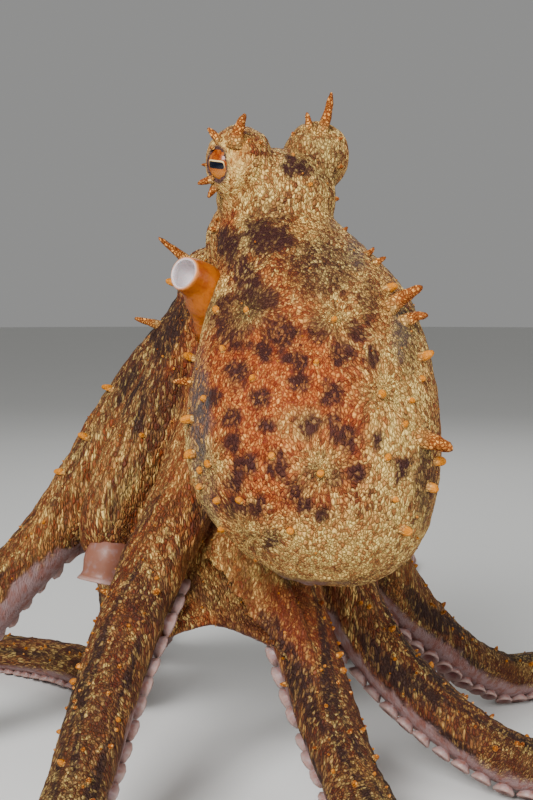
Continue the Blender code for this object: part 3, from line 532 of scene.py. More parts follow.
@dataclass(frozen=True)
class SkinFinish:
    """Granular skin: cream, tan and orange cells over thin dark grooves, with the animal's markings."""

    granule: float = 760.0
    clump: float = 270.0
    height: float = 0.0007

    def make(self) -> bpy.types.Material:
        """Makes the material."""
        shop = Shop("skin", Roughness=0.6, Specular_IOR_Level=0.18)
        maroon, dark, slate, pale, red, smooth, streak, strand, skirt, oral, crease, lid = shop.attributes(
            "maroon", "dark", "slate", "pale", "red", "smooth", "streak", "strand", "skirt", "oral", "crease",
            "lid")
        flow = shop.attribute("flow", "Vector")
        bent = shop.bend(shop.bend(flow, 90.0, 0.0036), 600.0, 0.0010)
        edge = shop.edge(bent, self.granule)
        clump = shop.chance(bent, self.clump)
        tone = shop.chance(bent, self.granule) * 0.74 + clump * 0.26
        patch = shop.cloud(flow, 46.0, 4.0)
        speck = shop.cloud(flow, 330.0)
        grain = shop.cloud(flow, 1300.0, 2.0).between(0.42, 0.60)
        fine = shop.cloud(shop.squeeze(flow, (1.0, 1.0, 0.35)), 560.0, 2.0).between(0.46, 0.56)
        shown = edge.between(-0.03, 0.17)
        bright = tone.between(0.52, 0.70)

        plain = shop.coats(
            UMBER,
            (tone.between(0.27, 0.43), TAN),
            (tone.between(0.41, 0.57), CREAM),
            # The palest cells take straw, partly their own colour and partly painted highlight
            (tone.between(0.58, 0.72), STRAW_AND_HIGHLIGHT),
            (patch.between(0.42, 0.64) * 0.60, shop.mix(tone.between(0.3, 0.6), RUST, OCHRE)),
        )
        warm = shop.coats(
            RUST,
            (tone.between(0.22, 0.44), ORANGE),
            (tone.between(0.46, 0.78) * 0.8, SAND),
            (speck.between(0.50, 0.64) * 0.55, RUST),
        )
        # Pale fields also top out in straw cells, partly painted highlight
        light = shop.coats(TAN, (tone.between(0.26, 0.44), CREAM), (tone.between(0.38, 0.56), STRAW_AND_HIGHLIGHT))
        cell = shop.coats(
            plain,
            (red, warm),
            (pale * (0.66 + speck * 0.6), light),
            (grain * (0.30 + red * 0.12), shop.mix(pale, RUST, TAN)),
            (streak * 0.55, RUST),
            (strand * (0.95 - tone.between(0.5, 0.7) * 0.5), shop.mix(streak, UMBER, DARK_RED)),
            (skirt * fine * 0.72, shop.mix(streak, RUST, UMBER)),
        )
        groove = shop.coats(BROWN, (red, DARK_RED), (pale * 0.85, OLIVE), (smooth * 0.85, cell))
        shop.feed("Base Color", shop.coats(
            groove,
            (shown, cell),
            (dark * (0.95 - bright * 0.26), DUSK),
            (maroon * (0.97 - bright * 0.28), MAROON),
            (slate * (0.86 - bright * 0.5), SLATE),
            # Painted shade darkens the furrows round the mantle's stars
            (crease * 0.85, BROWN),
            # Painted shade in the fold where the lid meets the eyeball
            (lid, LID_SHADE),
            (oral, shop.mix(speck.between(0.40, 0.66), LILAC, ROSE)),
        ))
        shop.feed("Roughness", 0.72 - shown * 0.14 - oral * 0.16)
        soft = 1.0 - oral * 0.78
        shop.raise_by((edge.between(0.0, 0.30) * 0.9 + clump * 0.25 + speck * 0.25) * soft, self.height)
        return shop.material


@dataclass(frozen=True)
class PapillaFinish:
    """Papillae: skin cells at the root, and orange towards the tip, brightest on the small knobs."""

    granule: float = 620.0
    height: float = 0.0007

    def make(self) -> bpy.types.Material:
        """Makes the material."""
        shop = Shop("papilla_skin", Roughness=0.62, Specular_IOR_Level=0.14)
        tip, bright = shop.attributes("tip", "bright")
        bent = shop.bend(shop.place(), 160.0, 0.002)
        edge = shop.edge(bent, self.granule).between(0.01, 0.24)
        chance = shop.chance(bent, self.granule).between(0.25, 0.75)
        root = shop.mix(edge * 0.6 + 0.4, BROWN, shop.mix(chance, TAN, CREAM))
        horn = shop.mix(edge, DARK_RED, shop.mix(chance, HORN_BROWN, SAND))
        knob = shop.mix(chance * 0.25, KNOB_ORANGE, SAND)
        shop.feed("Base Color", shop.mix(tip.between(0.0, 0.35), root, shop.mix(bright, horn, knob)))
        shop.raise_by(edge * (1.0 - bright * 0.7), self.height)
        return shop.material


@dataclass(frozen=True)
class SuckerFinish:
    """Suckers: mauve-pink cups, paler on the rim, painted shade in the hollow, with fine spokes."""

    height: float = 0.0004

    def make(self) -> bpy.types.Material:
        """Makes the material."""
        shop = Shop("sucker_skin", Roughness=0.42, Specular_IOR_Level=0.3, Subsurface_Weight=0.10,
                    Subsurface_Scale=0.004)
        rim, pit, spoke, bell = shop.attributes("rim", "pit", "spoke", "bell")
        speck = shop.cloud(shop.place(), 320.0, 4.0)
        shop.feed("Base Color", shop.coats(
            LILAC,
            (speck.between(0.40, 0.64), ROSE),
            (bell, shop.mix(speck.between(0.50, 0.68) * 0.5, BELL_ROSE, LILAC)),
            (rim * 0.6, SUCKER_RIM),
            # Painted shade: each cup's hollow, and the great sucker's root
            (pit * 0.85, SUCKER_SHADE),
        ))
        shop.raise_by(spoke * 0.6 + speck * 0.4, self.height)
        return shop.material


@dataclass(frozen=True)
class FunnelFinish:
    """The funnel: smooth orange skin, paler towards the rim, white inside."""

    height: float = 0.0005

    def make(self) -> bpy.types.Material:
        """Makes the material."""
        shop = Shop("funnel_skin", Roughness=0.36, Specular_IOR_Level=0.22, Subsurface_Weight=0.10,
                    Subsurface_Scale=0.004)
        inside, lip = shop.attributes("inside", "lip")
        place = shop.place()
        speck = shop.cloud(place, 260.0, 4.0)
        band = shop.cloud(place, 70.0, 2.0)
        shop.feed("Base Color", shop.coats(
            FUNNEL_ORANGE,
            (band.between(0.35, 0.65), FUNNEL_AMBER),
            (speck.between(0.54, 0.66) * 0.45, RUST),
            (lip * 0.30, SAND),
            (inside, shop.mix(band, FUNNEL_WHITE, SUCKER_RIM)),
        ))
        shop.raise_by(speck, self.height)
        return shop.material


@dataclass(frozen=True)
class EyeFinish:
    """The eyeball: an orange iris with a dark level slot that has a cream edge, thicker above."""

    slot_width: float = 0.54
    slot_height: float = 0.190
    corner: float = 0.26
    edge: float = 0.022
    lift: float = 0.055

    def make(self) -> bpy.types.Material:
        """Makes the material. The attributes across and upward run from -1 to 1 over the iris."""
        shop = Shop("eye", Roughness=0.25, Specular_IOR_Level=0.15, Coat_Weight=0.18, Coat_Roughness=0.03)
        across, upward = shop.attributes("across", "upward")
        level = upward - across * 0.16 + 0.03
        pupil = self._outside(shop, across, level, 0.0)
        cream = self._outside(shop, across, level, self.lift) - self.edge
        far = (across * across + upward * upward) ** 0.5
        place = shop.place()
        fleck = shop.cloud(place, 700.0, 4.0)
        turn = shop.cloud(place, 240.0, 2.0)
        iris = shop.coats(
            IRIS_ORANGE,
            (fleck.between(0.38, 0.64), IRIS_DARK),
            # Painted light: gold on the lower iris, leaving its top darker as if shaded by the lid
            (upward.between(-0.05, -0.55) * 0.7, IRIS_GOLD),
            (turn.between(0.54, 0.70) * 0.35, IRIS_GOLD),
            # Painted shade: dark round the iris's rim and over the rest of the ball, where the lid meets it
            (far.between(0.82, 1.05), DUSK),
        )
        ringed = shop.mix(cream.between(-0.02, 0.03), PUPIL_EDGE, iris)
        shop.feed("Base Color", shop.mix(pupil.between(-0.02, 0.03), PUPIL_BLACK, ringed))
        return shop.material

    def _outside(self, shop: Shop, across: Wire, upward: Wire, lift: float) -> Wire:
        """How far a point is outside the slot, rounded at its corners.

        Args:
            shop: where the nodes are made.
            across: the point's place along the slot.
            upward: its place up the iris.
            lift: how far the slot is moved up.
        """
        wide = (across * across) ** 0.5 - self.slot_width
        raised = upward - lift
        tall = (raised * raised) ** 0.5 - self.slot_height
        return shop.node("ShaderNodeMath", {"operation": "SMOOTH_MAX"}, {0: tall, 1: wide, 2: self.corner})


@dataclass(frozen=True)
class FloorFinish:
    """Plain pale floor."""

    patch: float = 6.0
    shade: float = 0.97

    def make(self) -> bpy.types.Material:
        """Makes the material."""
        shop = Shop("pale_floor", Roughness=0.8)
        dimmed = tuple(value * self.shade for value in FLOOR_PALE)
        shop.feed("Base Color", shop.mix(shop.cloud(shop.place(), self.patch), FLOOR_PALE, dimmed))
        return shop.material


def arm_radius(distance: float) -> float:
    """The arm's radius at a distance along it from the crown."""
    left = max(0.0, 1 - distance / ARM_LENGTH)
    return ARM_TIP_RADIUS + (ARM_RADIUS - ARM_TIP_RADIUS) * left ** ARM_TAPER


def rest_height(radius: float, roll: float) -> float:
    """How high an arm's centre lies above the floor when its suckers are turned by roll."""
    lowest = radius
    for row in (-1, 1):
        angle = roll + row * math.radians(SUCKER_ROW_ANGLE)
        reach = radius * (1 + SUCKER_HEIGHT_SHARE) * math.cos(angle)
        reach += radius * SUCKER_SHARE * abs(math.sin(angle))
        lowest = max(lowest, reach)
    return lowest - FLOOR_SINK


class Route:
    """The centreline of an arm, with the frame that its rings and suckers are set in."""

    def __init__(self, arm: Arm) -> None:
        """Walks the arm from the crown to the tip."""
        self.arm = arm
        points = self._walk()
        steps = np.linalg.norm(np.diff(points, axis=0), axis=1)
        along = np.concatenate([[0.0], np.cumsum(steps)])
        self.distances = np.arange(0.0, ARM_LENGTH, STEP)
        self.points = np.stack([np.interp(self.distances, along, points[:, k]) for k in range(3)], axis=1)
        self.tangents = np.gradient(self.points, axis=0)
        self.tangents /= np.linalg.norm(self.tangents, axis=1)[:, None]

    def _roll(self, distance: float) -> float:
        """The roll of the suckers, zero until the arm lies on the floor."""
        share = (distance - self.floor_start) / (ARM_LENGTH - self.floor_start)
        return math.radians(self.arm.roll) * smooth_step((share - 0.05) / 0.5)

    def _walk(self) -> np.ndarray:
        """Points from the crown down to the foot and on along the floor to the tip."""
        arm = self.arm
        azimuth = math.radians(arm.azimuth)
        radial = Vector((-math.sin(azimuth), -math.cos(azimuth), 0.0))
        root = Vector(CROWN_CENTRE) + radial * CROWN_RING
        foot = Vector(arm.via[-1])
        knots = [root] + [Vector(point) for point in arm.via]
        self.floor_start = ROUTE_SLACK * sum((b - a).length for a, b in zip(knots, knots[1:]))
        foot.z = rest_height(arm_radius(self.floor_start), 0.0)
        knots[-1] = foot
        heading = math.radians(arm.heading)
        reach = (knots[-1] - knots[-2]).length
        after = foot + Vector((math.cos(heading), math.sin(heading), 0.0)) * reach
        before = root - (radial * 0.5 + Vector((0, 0, -0.8))).normalized() * 0.05
        guide = [before] + knots + [after]
        points = []
        for k in range(1, len(guide) - 2):
            for j in range(SPAN_STEPS):
                points.append(self.between(guide[k - 1:k + 3], j / SPAN_STEPS))
        points = np.array(points)
        for _ in range(SMOOTH_ROUNDS):
            points[1:-1] = points[1:-1] * 0.5 + (points[:-2] + points[2:]) * 0.25
        self.floor_start = float(np.linalg.norm(np.diff(points, axis=0), axis=1).sum())
        return np.array(list(points) + self._lie(points[-1].copy()))

    def _lie(self, place: np.ndarray) -> list:
        """Points along the floor, from the foot at place to the tip."""
        arm = self.arm
        points = []
        done = self.floor_start
        while done < ARM_LENGTH + STEP:
            share = min(1.0, (done - self.floor_start) / (ARM_LENGTH - self.floor_start))
            turn = arm.heading + arm.bend * share + arm.sway * math.sin(2 * math.pi * share * SWAY_WAVES)
            turn += 360 * arm.curl * max(0.0, (share - CURL_START) / CURL_LENGTH) ** 2
            place[:2] += np.array([math.cos(math.radians(turn)), math.sin(math.radians(turn))]) * STEP
            done += STEP
            level = rest_height(arm_radius(done), self._roll(done))
            settle = smooth_step((done - self.floor_start) / SETTLE_LENGTH)
            place[2] = place[2] * (1 - settle) + level * settle
            points.append(place.copy())
        return points

    @staticmethod
    def between(four: list, t: float) -> Vector:
        """Catmull-Rom point between the middle two of four points."""
        a, b, c, d = four
        return (b * 2 + (c - a) * t + (a * 2 - b * 5 + c * 4 - d) * t ** 2
                + (b * 3 - a - c * 3 + d) * t ** 3) * 0.5

    def at(self, distance: float) -> tuple:
        """Place, direction, the way the suckers face, and the radius at a distance along the arm."""
        index = min(len(self.distances) - 1, max(0.0, distance / STEP))
        low = int(index)
        high = min(low + 1, len(self.distances) - 1)
        share = index - low
        place = Vector(self.points[low] * (1 - share) + self.points[high] * share)
        forward = Vector(self.tangents[low] * (1 - share) + self.tangents[high] * share).normalized()
        inward = Vector(CROWN_CENTRE) - place
        inward.z = 0.0
        inward.normalize()
        lean = min(FACING_MAX, max(0.0, place.z - FACING_FLOOR) / FACING_RISE)
        facing = Vector((0, 0, -1)) + inward * lean
        facing = (facing - forward * facing.dot(forward)).normalized()
        facing = Matrix.Rotation(self._roll(distance), 3, forward) @ facing
        return place, forward, facing, arm_radius(distance)

    def sucker_share(self, distance: float) -> float:
        """A cup's radius as a share of the arm's. A male's second and third arms have a few large ones."""
        if self.arm.name[-1] not in "23":
            return SUCKER_SHARE
        near = math.exp(-((distance - LARGE_SUCKER_PLACE) / LARGE_SUCKER_SPREAD) ** 2)
        return SUCKER_SHARE * (1 + LARGE_SUCKER_EXTRA * near)

    def tube(self, bm: bmesh.types.BMesh, start: float, end: float, sides: int, spacing: float,
             ease: tuple = (0.0, 0.0)) -> None:
        """Adds a closed tube round the arm: a grid that is wrapped round the route and capped.

        Args:
            bm: the mesh that it is added to.
            start: distance of its first ring.
            end: distance of its last ring.
            sides: points in a ring.
            spacing: distance between rings.
            ease: how far the radius is drawn in at the start and the end.
        """
        rows = max(2, round((end - start) / spacing))
        grid = bmesh.ops.create_grid(bm, x_segments=rows, y_segments=sides, size=1.0)["verts"]
        frames = []
        for row in range(rows + 1):
            distance = start + (end - start) * row / rows
            place, forward, facing, radius = self.at(distance)
            radius -= ease[0] * (1 - smooth_step((distance - start) / ARM_JOIN_OVERLAP))
            radius -= ease[1] * (1 - smooth_step((end - distance) / ARM_JOIN_OVERLAP))
            frames.append((place, facing, forward.cross(facing), radius))
        for vertex in grid:
            row = round((vertex.co.x + 1) / 2 * rows)
            turn = math.pi * (vertex.co.y + 1)
            place, facing, side, radius = frames[row]
            vertex.co = place + (facing * math.cos(turn) + side * math.sin(turn)) * radius
        bmesh.ops.remove_doubles(bm, verts=grid, dist=1e-7)
        open_edges = [edge for edge in bm.edges if edge.is_boundary]
        bmesh.ops.holes_fill(bm, edges=open_edges, sides=0)


@dataclass
class Mantle:
    """The hanging sack behind the head, as in the solids."""

    top: float = 0.300
    bottom: float = 0.1208
    width: float = 0.1145
    depth: float = 0.094
    neck_share: float = 0.30
    neck_power: float = 0.72
    widest: float = 0.62
    apex_power: float = 2.2
    forward: float = -0.060
    forward_end: float = 0.72
    forward_power: float = 1.15
    top_x: float = 0.004
    side_shift: float = 0.0175
    side_shift_end: float = 0.30
    apex_shift: float = 0.0125
    sphere_power: float = 0.9
    last_ring: float = 0.985
    skin_reach: float = 1.04
    skin_ease: float = 0.16

    def profile(self, t: float) -> tuple:
        """Centre, half width and half depth at t, 0 at the neck and 1 at the apex."""
        if t < self.widest:
            swell = math.sin(math.pi / 2 * max(0.0, t) / self.widest) ** self.neck_power
            share = self.neck_share + (1 - self.neck_share) * swell
        else:
            closing = (t - self.widest) / (1 - self.widest)
            share = math.sqrt(max(0.0, 1 - closing ** self.apex_power))
        reach = math.sin(math.pi / 2 * min(1.0, max(0.0, t) / self.forward_end)) ** self.forward_power
        apex = max(0.0, (t - self.widest) / (1 - self.widest)) ** 2
        centre = Vector((
            self.top_x + self.side_shift * smooth_step(t / self.side_shift_end) + self.apex_shift * apex,
            self.forward * reach,
            self.top + (self.bottom - self.top) * t,
        ))
        return centre, self.width / 2 * share, self.depth / 2 * share

    def add(self, bm: bmesh.types.BMesh) -> None:
        """Adds the mantle: a sphere whose rows are moved to the sack's rings."""
        made = bmesh.ops.create_uvsphere(bm, u_segments=72, v_segments=60, radius=1.0)["verts"]
        for vertex in made:
            turn = (1 - vertex.co.z) / 2 * math.pi / 2
            t = math.sin(turn) ** self.sphere_power if vertex.co.z < 1 else 0.0
            centre, half_width, half_depth = self.profile(t)
            flat = Vector((vertex.co.x, vertex.co.y, 0.0))
            if flat.length > 1e-6:
                flat.normalize()
            vertex.co = centre + Vector((flat.x * half_width, flat.y * half_depth, 0.0))

    def share(self, points: np.ndarray) -> np.ndarray:
        """How far each point belongs to the mantle: 1 on its skin, 0 well outside it."""
        result = np.zeros(len(points))
        for k, point in enumerate(points):
            t = (self.top - point[2]) / (self.top - self.bottom)
            if not -0.02 < t < 1.06:
                continue
            centre, half_width, half_depth = self.profile(min(t, self.last_ring))
            across = (point[0] - centre.x) / half_width
            away = (point[1] - centre.y) / half_depth
            result[k] = 1 - smooth_step((math.hypot(across, away) - self.skin_reach) / self.skin_ease)
        return result


@dataclass
class Eye:
    """One eyeball with the fold of skin round it."""

    side: str
    turret: tuple
    azimuth: float
    radius: float = 0.0095
    set_in: float = 0.0075
    dip: float = 0.12
    lid_width: float = 0.0124
    lid_height: float = 0.0160
    lid_radius: float = 0.0019
    lid_place: float = 0.70
    lid_inside: float = 0.98
    sight: float = 2.5
    iris: float = 0.90
    bedding: float = 0.0007

    def look(self) -> Vector:
        """The way the eye looks."""
        turn = math.radians(self.azimuth)
        return Vector((-math.sin(turn), -math.cos(turn), -self.dip)).normalized()

    def centre(self) -> Vector:
        """The eyeball's centre."""
        return Vector(self.turret) + self.look() * self.set_in

    def frame(self) -> tuple:
        """Across and up in the plane of the lid."""
        side = self.look().cross(Vector((0, 0, 1))).normalized()
        return side, side.cross(self.look())

    def add_lid(self, bm: bmesh.types.BMesh) -> None:
        """Adds the lid: a circle spun into a ring, then drawn to an oval."""
        look = self.look()
        side, up = self.frame()
        middle = self.centre() + look * (self.radius * self.lid_place)
        before = set(bm.verts)
        ring = bmesh.ops.create_circle(bm, segments=10, radius=self.lid_radius)["verts"]
        turn = Matrix.Rotation(math.pi / 2, 4, "X")
        bmesh.ops.transform(bm, matrix=Matrix.Translation((1.0, 0, 0)) @ turn, verts=ring)
        edges = list({edge for vertex in ring for edge in vertex.link_edges})
        bmesh.ops.spin(bm, geom=edges, cent=(0, 0, 0), axis=(0, 0, 1), angle=2 * math.pi, steps=28,
                       use_merge=True)
        for vertex in set(bm.verts) - before:
            flat = Vector((vertex.co.x, vertex.co.y, 0.0))
            out = flat.normalized()
            swell = flat.length - 1.0
            spoke = side * (out.x * self.lid_width / 2) + up * (out.y * self.lid_height / 2)
            vertex.co = middle + spoke + spoke.normalized() * swell + look * vertex.co.z

    def oval(self, points: np.ndarray) -> np.ndarray:
        """How far points lie from the eye's axis, 1 on the middle of the lid, and FAR behind the eye."""
        look, centre = np.array(self.look()), np.array(self.centre())
        side, up = (np.array(axis) for axis in self.frame())
        away = points - centre
        reach = np.hypot(away @ side / (self.lid_width / 2), away @ up / (self.lid_height / 2))
        near = (away @ look > 0) & (np.linalg.norm(away, axis=1) < self.radius * self.sight)
        return np.where(near, reach, FAR)

    def sink(self, points: np.ndarray) -> None:
        """Draws the skin inside the lid back behind the eyeball, in place."""
        centre = np.array(self.centre())
        away = points - centre
        reach = np.linalg.norm(away, axis=1)
        inside = self.oval(points) < self.lid_inside
        room = self.radius - self.bedding
        pull = np.where(inside & (reach > room), room / np.maximum(reach, 1e-9), 1.0)
        points[:] = centre + away * pull[:, None]

    def build(self, material: bpy.types.Material, shift: Vector) -> bpy.types.Object:
        """Builds the eyeball, its pole on the pupil."""
        bm = bmesh.new()
        bmesh.ops.create_uvsphere(bm, u_segments=48, v_segments=32, radius=self.radius)
        side, up = self.frame()
        look = self.look()
        across, upward = float_layers(bm, "across", "upward")
        iris = self.radius * self.iris
        for vertex in bm.verts:
            x, y, z = vertex.co
            vertex[across] = x / iris if z > 0 else 2.0
            vertex[upward] = y / iris if z > 0 else 2.0
            vertex.co = self.centre() + side * x + up * y + look * z + shift
        bmesh.ops.recalc_face_normals(bm, faces=bm.faces)
        return finish_piece(bm, "eyeball_" + self.side, material)


@dataclass
class Head:
    """Skull, neck, oral bulb and eye turrets."""

    lobes: list = field(default_factory=lambda: [
        ((0.0052, 0.001, 0.299), (0.0295, 0.0280, 0.0250)),
        ((0.001, 0.016, 0.275), (0.0320, 0.0300, 0.0340)),
        ((-0.002, 0.030, 0.252), (0.0330, 0.0310, 0.0340)),
        ((-0.021, 0.031, 0.256), (0.0260, 0.0250, 0.0235)),
    ])
    turret_radii: tuple = (0.0165, 0.0170, 0.0180)
    eyes: list = field(default_factory=lambda: [
        Eye("left", (-0.0135, -0.0125, 0.3155), 40.0),
        Eye("right", (0.0245, 0.0095, 0.3205), -110.0),
    ])

    def add(self, bm: bmesh.types.BMesh) -> None:
        """Adds every lobe of the head and the lids."""
        shapes = self.lobes + [(eye.turret, self.turret_radii) for eye in self.eyes]
        for centre, radii in shapes:
            shape = Matrix.Translation(centre) @ Matrix.Diagonal((*radii, 1.0))
            bmesh.ops.create_uvsphere(bm, u_segments=40, v_segments=24, radius=1.0, matrix=shape)
        for eye in self.eyes:
            eye.add_lid(bm)


@dataclass
class Web:
    """The web between two neighbouring arms."""

    near: Route
    far: Route
    depths: tuple
    thickness: float = 0.0044
    rows: int = 34
    columns: int = 22

    def at(self, u: float, v: float) -> tuple:
        """Place on the web's middle surface, and the way out of it.

        Args:
            u: from 0 at the near arm to 1 at the far one.
            v: from 0 at the crown to 1 at the free edge.
        """
        middle_depth, arm_depth = self.depths
        edge = middle_depth + (arm_depth - middle_depth) * abs(2 * u - 1) ** WEB_EDGE_POWER
        distance = WEB_TOP + (edge - WEB_TOP) * v
        a, forward_a, facing_a, _ = self.near.at(distance)
        b, forward_b, facing_b, _ = self.far.at(distance)
        out = (b - a).cross(forward_a + forward_b).normalized()
        if out.dot(facing_a + facing_b) > 0:
            out = -out
        sag = WEB_SAG * (b - a).length * 4 * u * (1 - u)
        place = a.lerp(b, u) - out * sag
        away = place - Vector(CROWN_CENTRE)
        away.z = 0.0
        return place, out if out.dot(away) > 0 else -out

    def add(self, bm: bmesh.types.BMesh) -> list:
        """Adds the web as a grid laid between the arms and made solid.

        Args:
            bm: the mesh that it is added to.

        Returns:
            The grid's places and the ways out of it.
        """
        sheet = bmesh.new()
        grid = bmesh.ops.create_grid(sheet, x_segments=self.columns, y_segments=self.rows, size=1.0)["verts"]
        samples = []
        for vertex in grid:
            vertex.co, out = self.at((vertex.co.x + 1) / 2, (vertex.co.y + 1) / 2)
            samples.append((vertex.co.copy(), out))
        sheet.normal_update()
        turned = [face for face in sheet.faces if face.normal.dot(samples[face.verts[0].index][1]) < 0]
        bmesh.ops.reverse_faces(sheet, faces=turned)
        for vertex in grid:
            vertex.co += samples[vertex.index][1] * self.thickness / 2
        sheet.normal_update()
        bmesh.ops.solidify(sheet, geom=sheet.faces[:], thickness=self.thickness)
        pour(sheet, bm)
        return samples


def webbed_facing(webs: tuple, distance: float, forward: Vector, facing: Vector) -> Vector:
    """The way the cups face: the inside of the webs, and past their edge the arm's own way.

    Args:
        webs: the webs before and after the arm.
        distance: the place along the arm.
        forward: the arm's direction there.
        facing: the arm's own way.
    """
    inside = Vector()
    for web, u in zip(webs, (1.0, 0.0)):
        v = (distance - WEB_TOP) / (web.depths[1] - WEB_TOP)
        inside -= web.at(u, min(1.0, max(0.0, v)))[1]
    depth = min(web.depths[1] for web in webs)
    mixed = facing.lerp(inside.normalized(), 1 - smooth_step((distance - depth) / FACING_EASE))
    return (mixed - forward * mixed.dot(forward)).normalized()


def make_mesh(bm: bmesh.types.BMesh, name: str) -> bpy.types.Mesh:
    """Makes a mesh of the bmesh, which is freed."""
    mesh = bpy.data.meshes.new(name)
    bm.to_mesh(mesh)
    bm.free()
    return mesh


def link(name: str, data: object) -> bpy.types.Object:
    """Makes an object of the data and puts it in the scene."""
    obj = bpy.data.objects.new(name, data)
    bpy.context.scene.collection.objects.link(obj)
    return obj


def pour(source: bmesh.types.BMesh, target: bmesh.types.BMesh) -> None:
    """Adds one bmesh to another and frees it."""
    mesh = make_mesh(source, "poured")
    target.from_mesh(mesh)
    bpy.data.meshes.remove(mesh)


def float_layers(bm: bmesh.types.BMesh, *names: str) -> list:
    """Gives the points of the bmesh a value of each name."""
    return [bm.verts.layers.float.new(name) for name in names]


def close_holes(bm: bmesh.types.BMesh) -> None:
    """Caps every open ring and turns the faces outwards."""
    bmesh.ops.holes_fill(bm, edges=[edge for edge in bm.edges if edge.is_boundary], sides=0)
    bmesh.ops.recalc_face_normals(bm, faces=bm.faces)


def finish_piece(bm: bmesh.types.BMesh, name: str, material: bpy.types.Material) -> bpy.types.Object:
    """Makes a smooth-shaded object of the bmesh, which rides on the one body.

    Args:
        bm: the piece's mesh, already in the frame's own coordinates. It is freed.
        name: the piece's name.
        material: its finish.

    Returns:
        The object.
    """
    mesh = make_mesh(bm, name)
    mesh.shade_smooth()
    mesh.materials.append(material)
    obj = link(name, mesh)
    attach(obj, "root")
    LOG.info("%s: %d faces", name, len(mesh.polygons))
    return obj


def read_values(items: object, key: str, kind: type = float, width: int = 3) -> np.ndarray:
    """One value of every item in a mesh's list, one a row, or flat where its width is 1."""
    flat = np.empty(len(items) * width, dtype=kind)
    items.foreach_get(key, flat)
    return flat.reshape(-1, width) if width > 1 else flat


def read_points(mesh: bpy.types.Mesh) -> np.ndarray:
    """The mesh's points, one a row."""
    return read_values(mesh.vertices, "co")


def read_normals(mesh: bpy.types.Mesh) -> np.ndarray:
    """The mesh's point normals, one a row."""
    return read_values(mesh.vertices, "normal")


def write_points(mesh: bpy.types.Mesh, points: np.ndarray) -> None:
    """Puts the points back."""
    mesh.vertices.foreach_set("co", points.reshape(-1))
    mesh.update()


def write_attribute(mesh: bpy.types.Mesh, name: str, values: np.ndarray) -> None:
    """Writes a number or a vector for each of the mesh's points."""
    kind, key = ("FLOAT", "value") if values.ndim == 1 else ("FLOAT_VECTOR", "vector")
    layer = mesh.attributes.new(name, kind, "POINT")
    layer.data.foreach_set(key, values.astype(np.float32).reshape(-1))


def search_tree(places: list) -> kdtree.KDTree:
    """A search tree that finds each place by its number."""
    tree = kdtree.KDTree(len(places))
    for k, place in enumerate(places):
        tree.insert(place, k)
    tree.balance()
    return tree


@dataclass(frozen=True)
class ArmPlaces:
    """Where points lie on their nearest arm, one a row."""

    owner: np.ndarray
    along: np.ndarray
    deep: np.ndarray
    across: np.ndarray
    facing: np.ndarray

    def noise(self, girth: float, length: float, octaves: int, seed: float) -> np.ndarray:
        """Noise that runs along the arms.

        Args:
            girth: how many cells go to the ring's radius, round the arm.
            length: how many cells go to a metre along it.
            octaves: how many layers are added.
            seed: shifts the pattern.
        """
        turn = np.arctan2(self.across, self.deep)
        ring = np.stack([np.cos(turn) * girth, np.sin(turn) * girth, self.along * length], axis=1)
        return noise_field(ring, (1.0, 1.0, 1.0), octaves, seed)


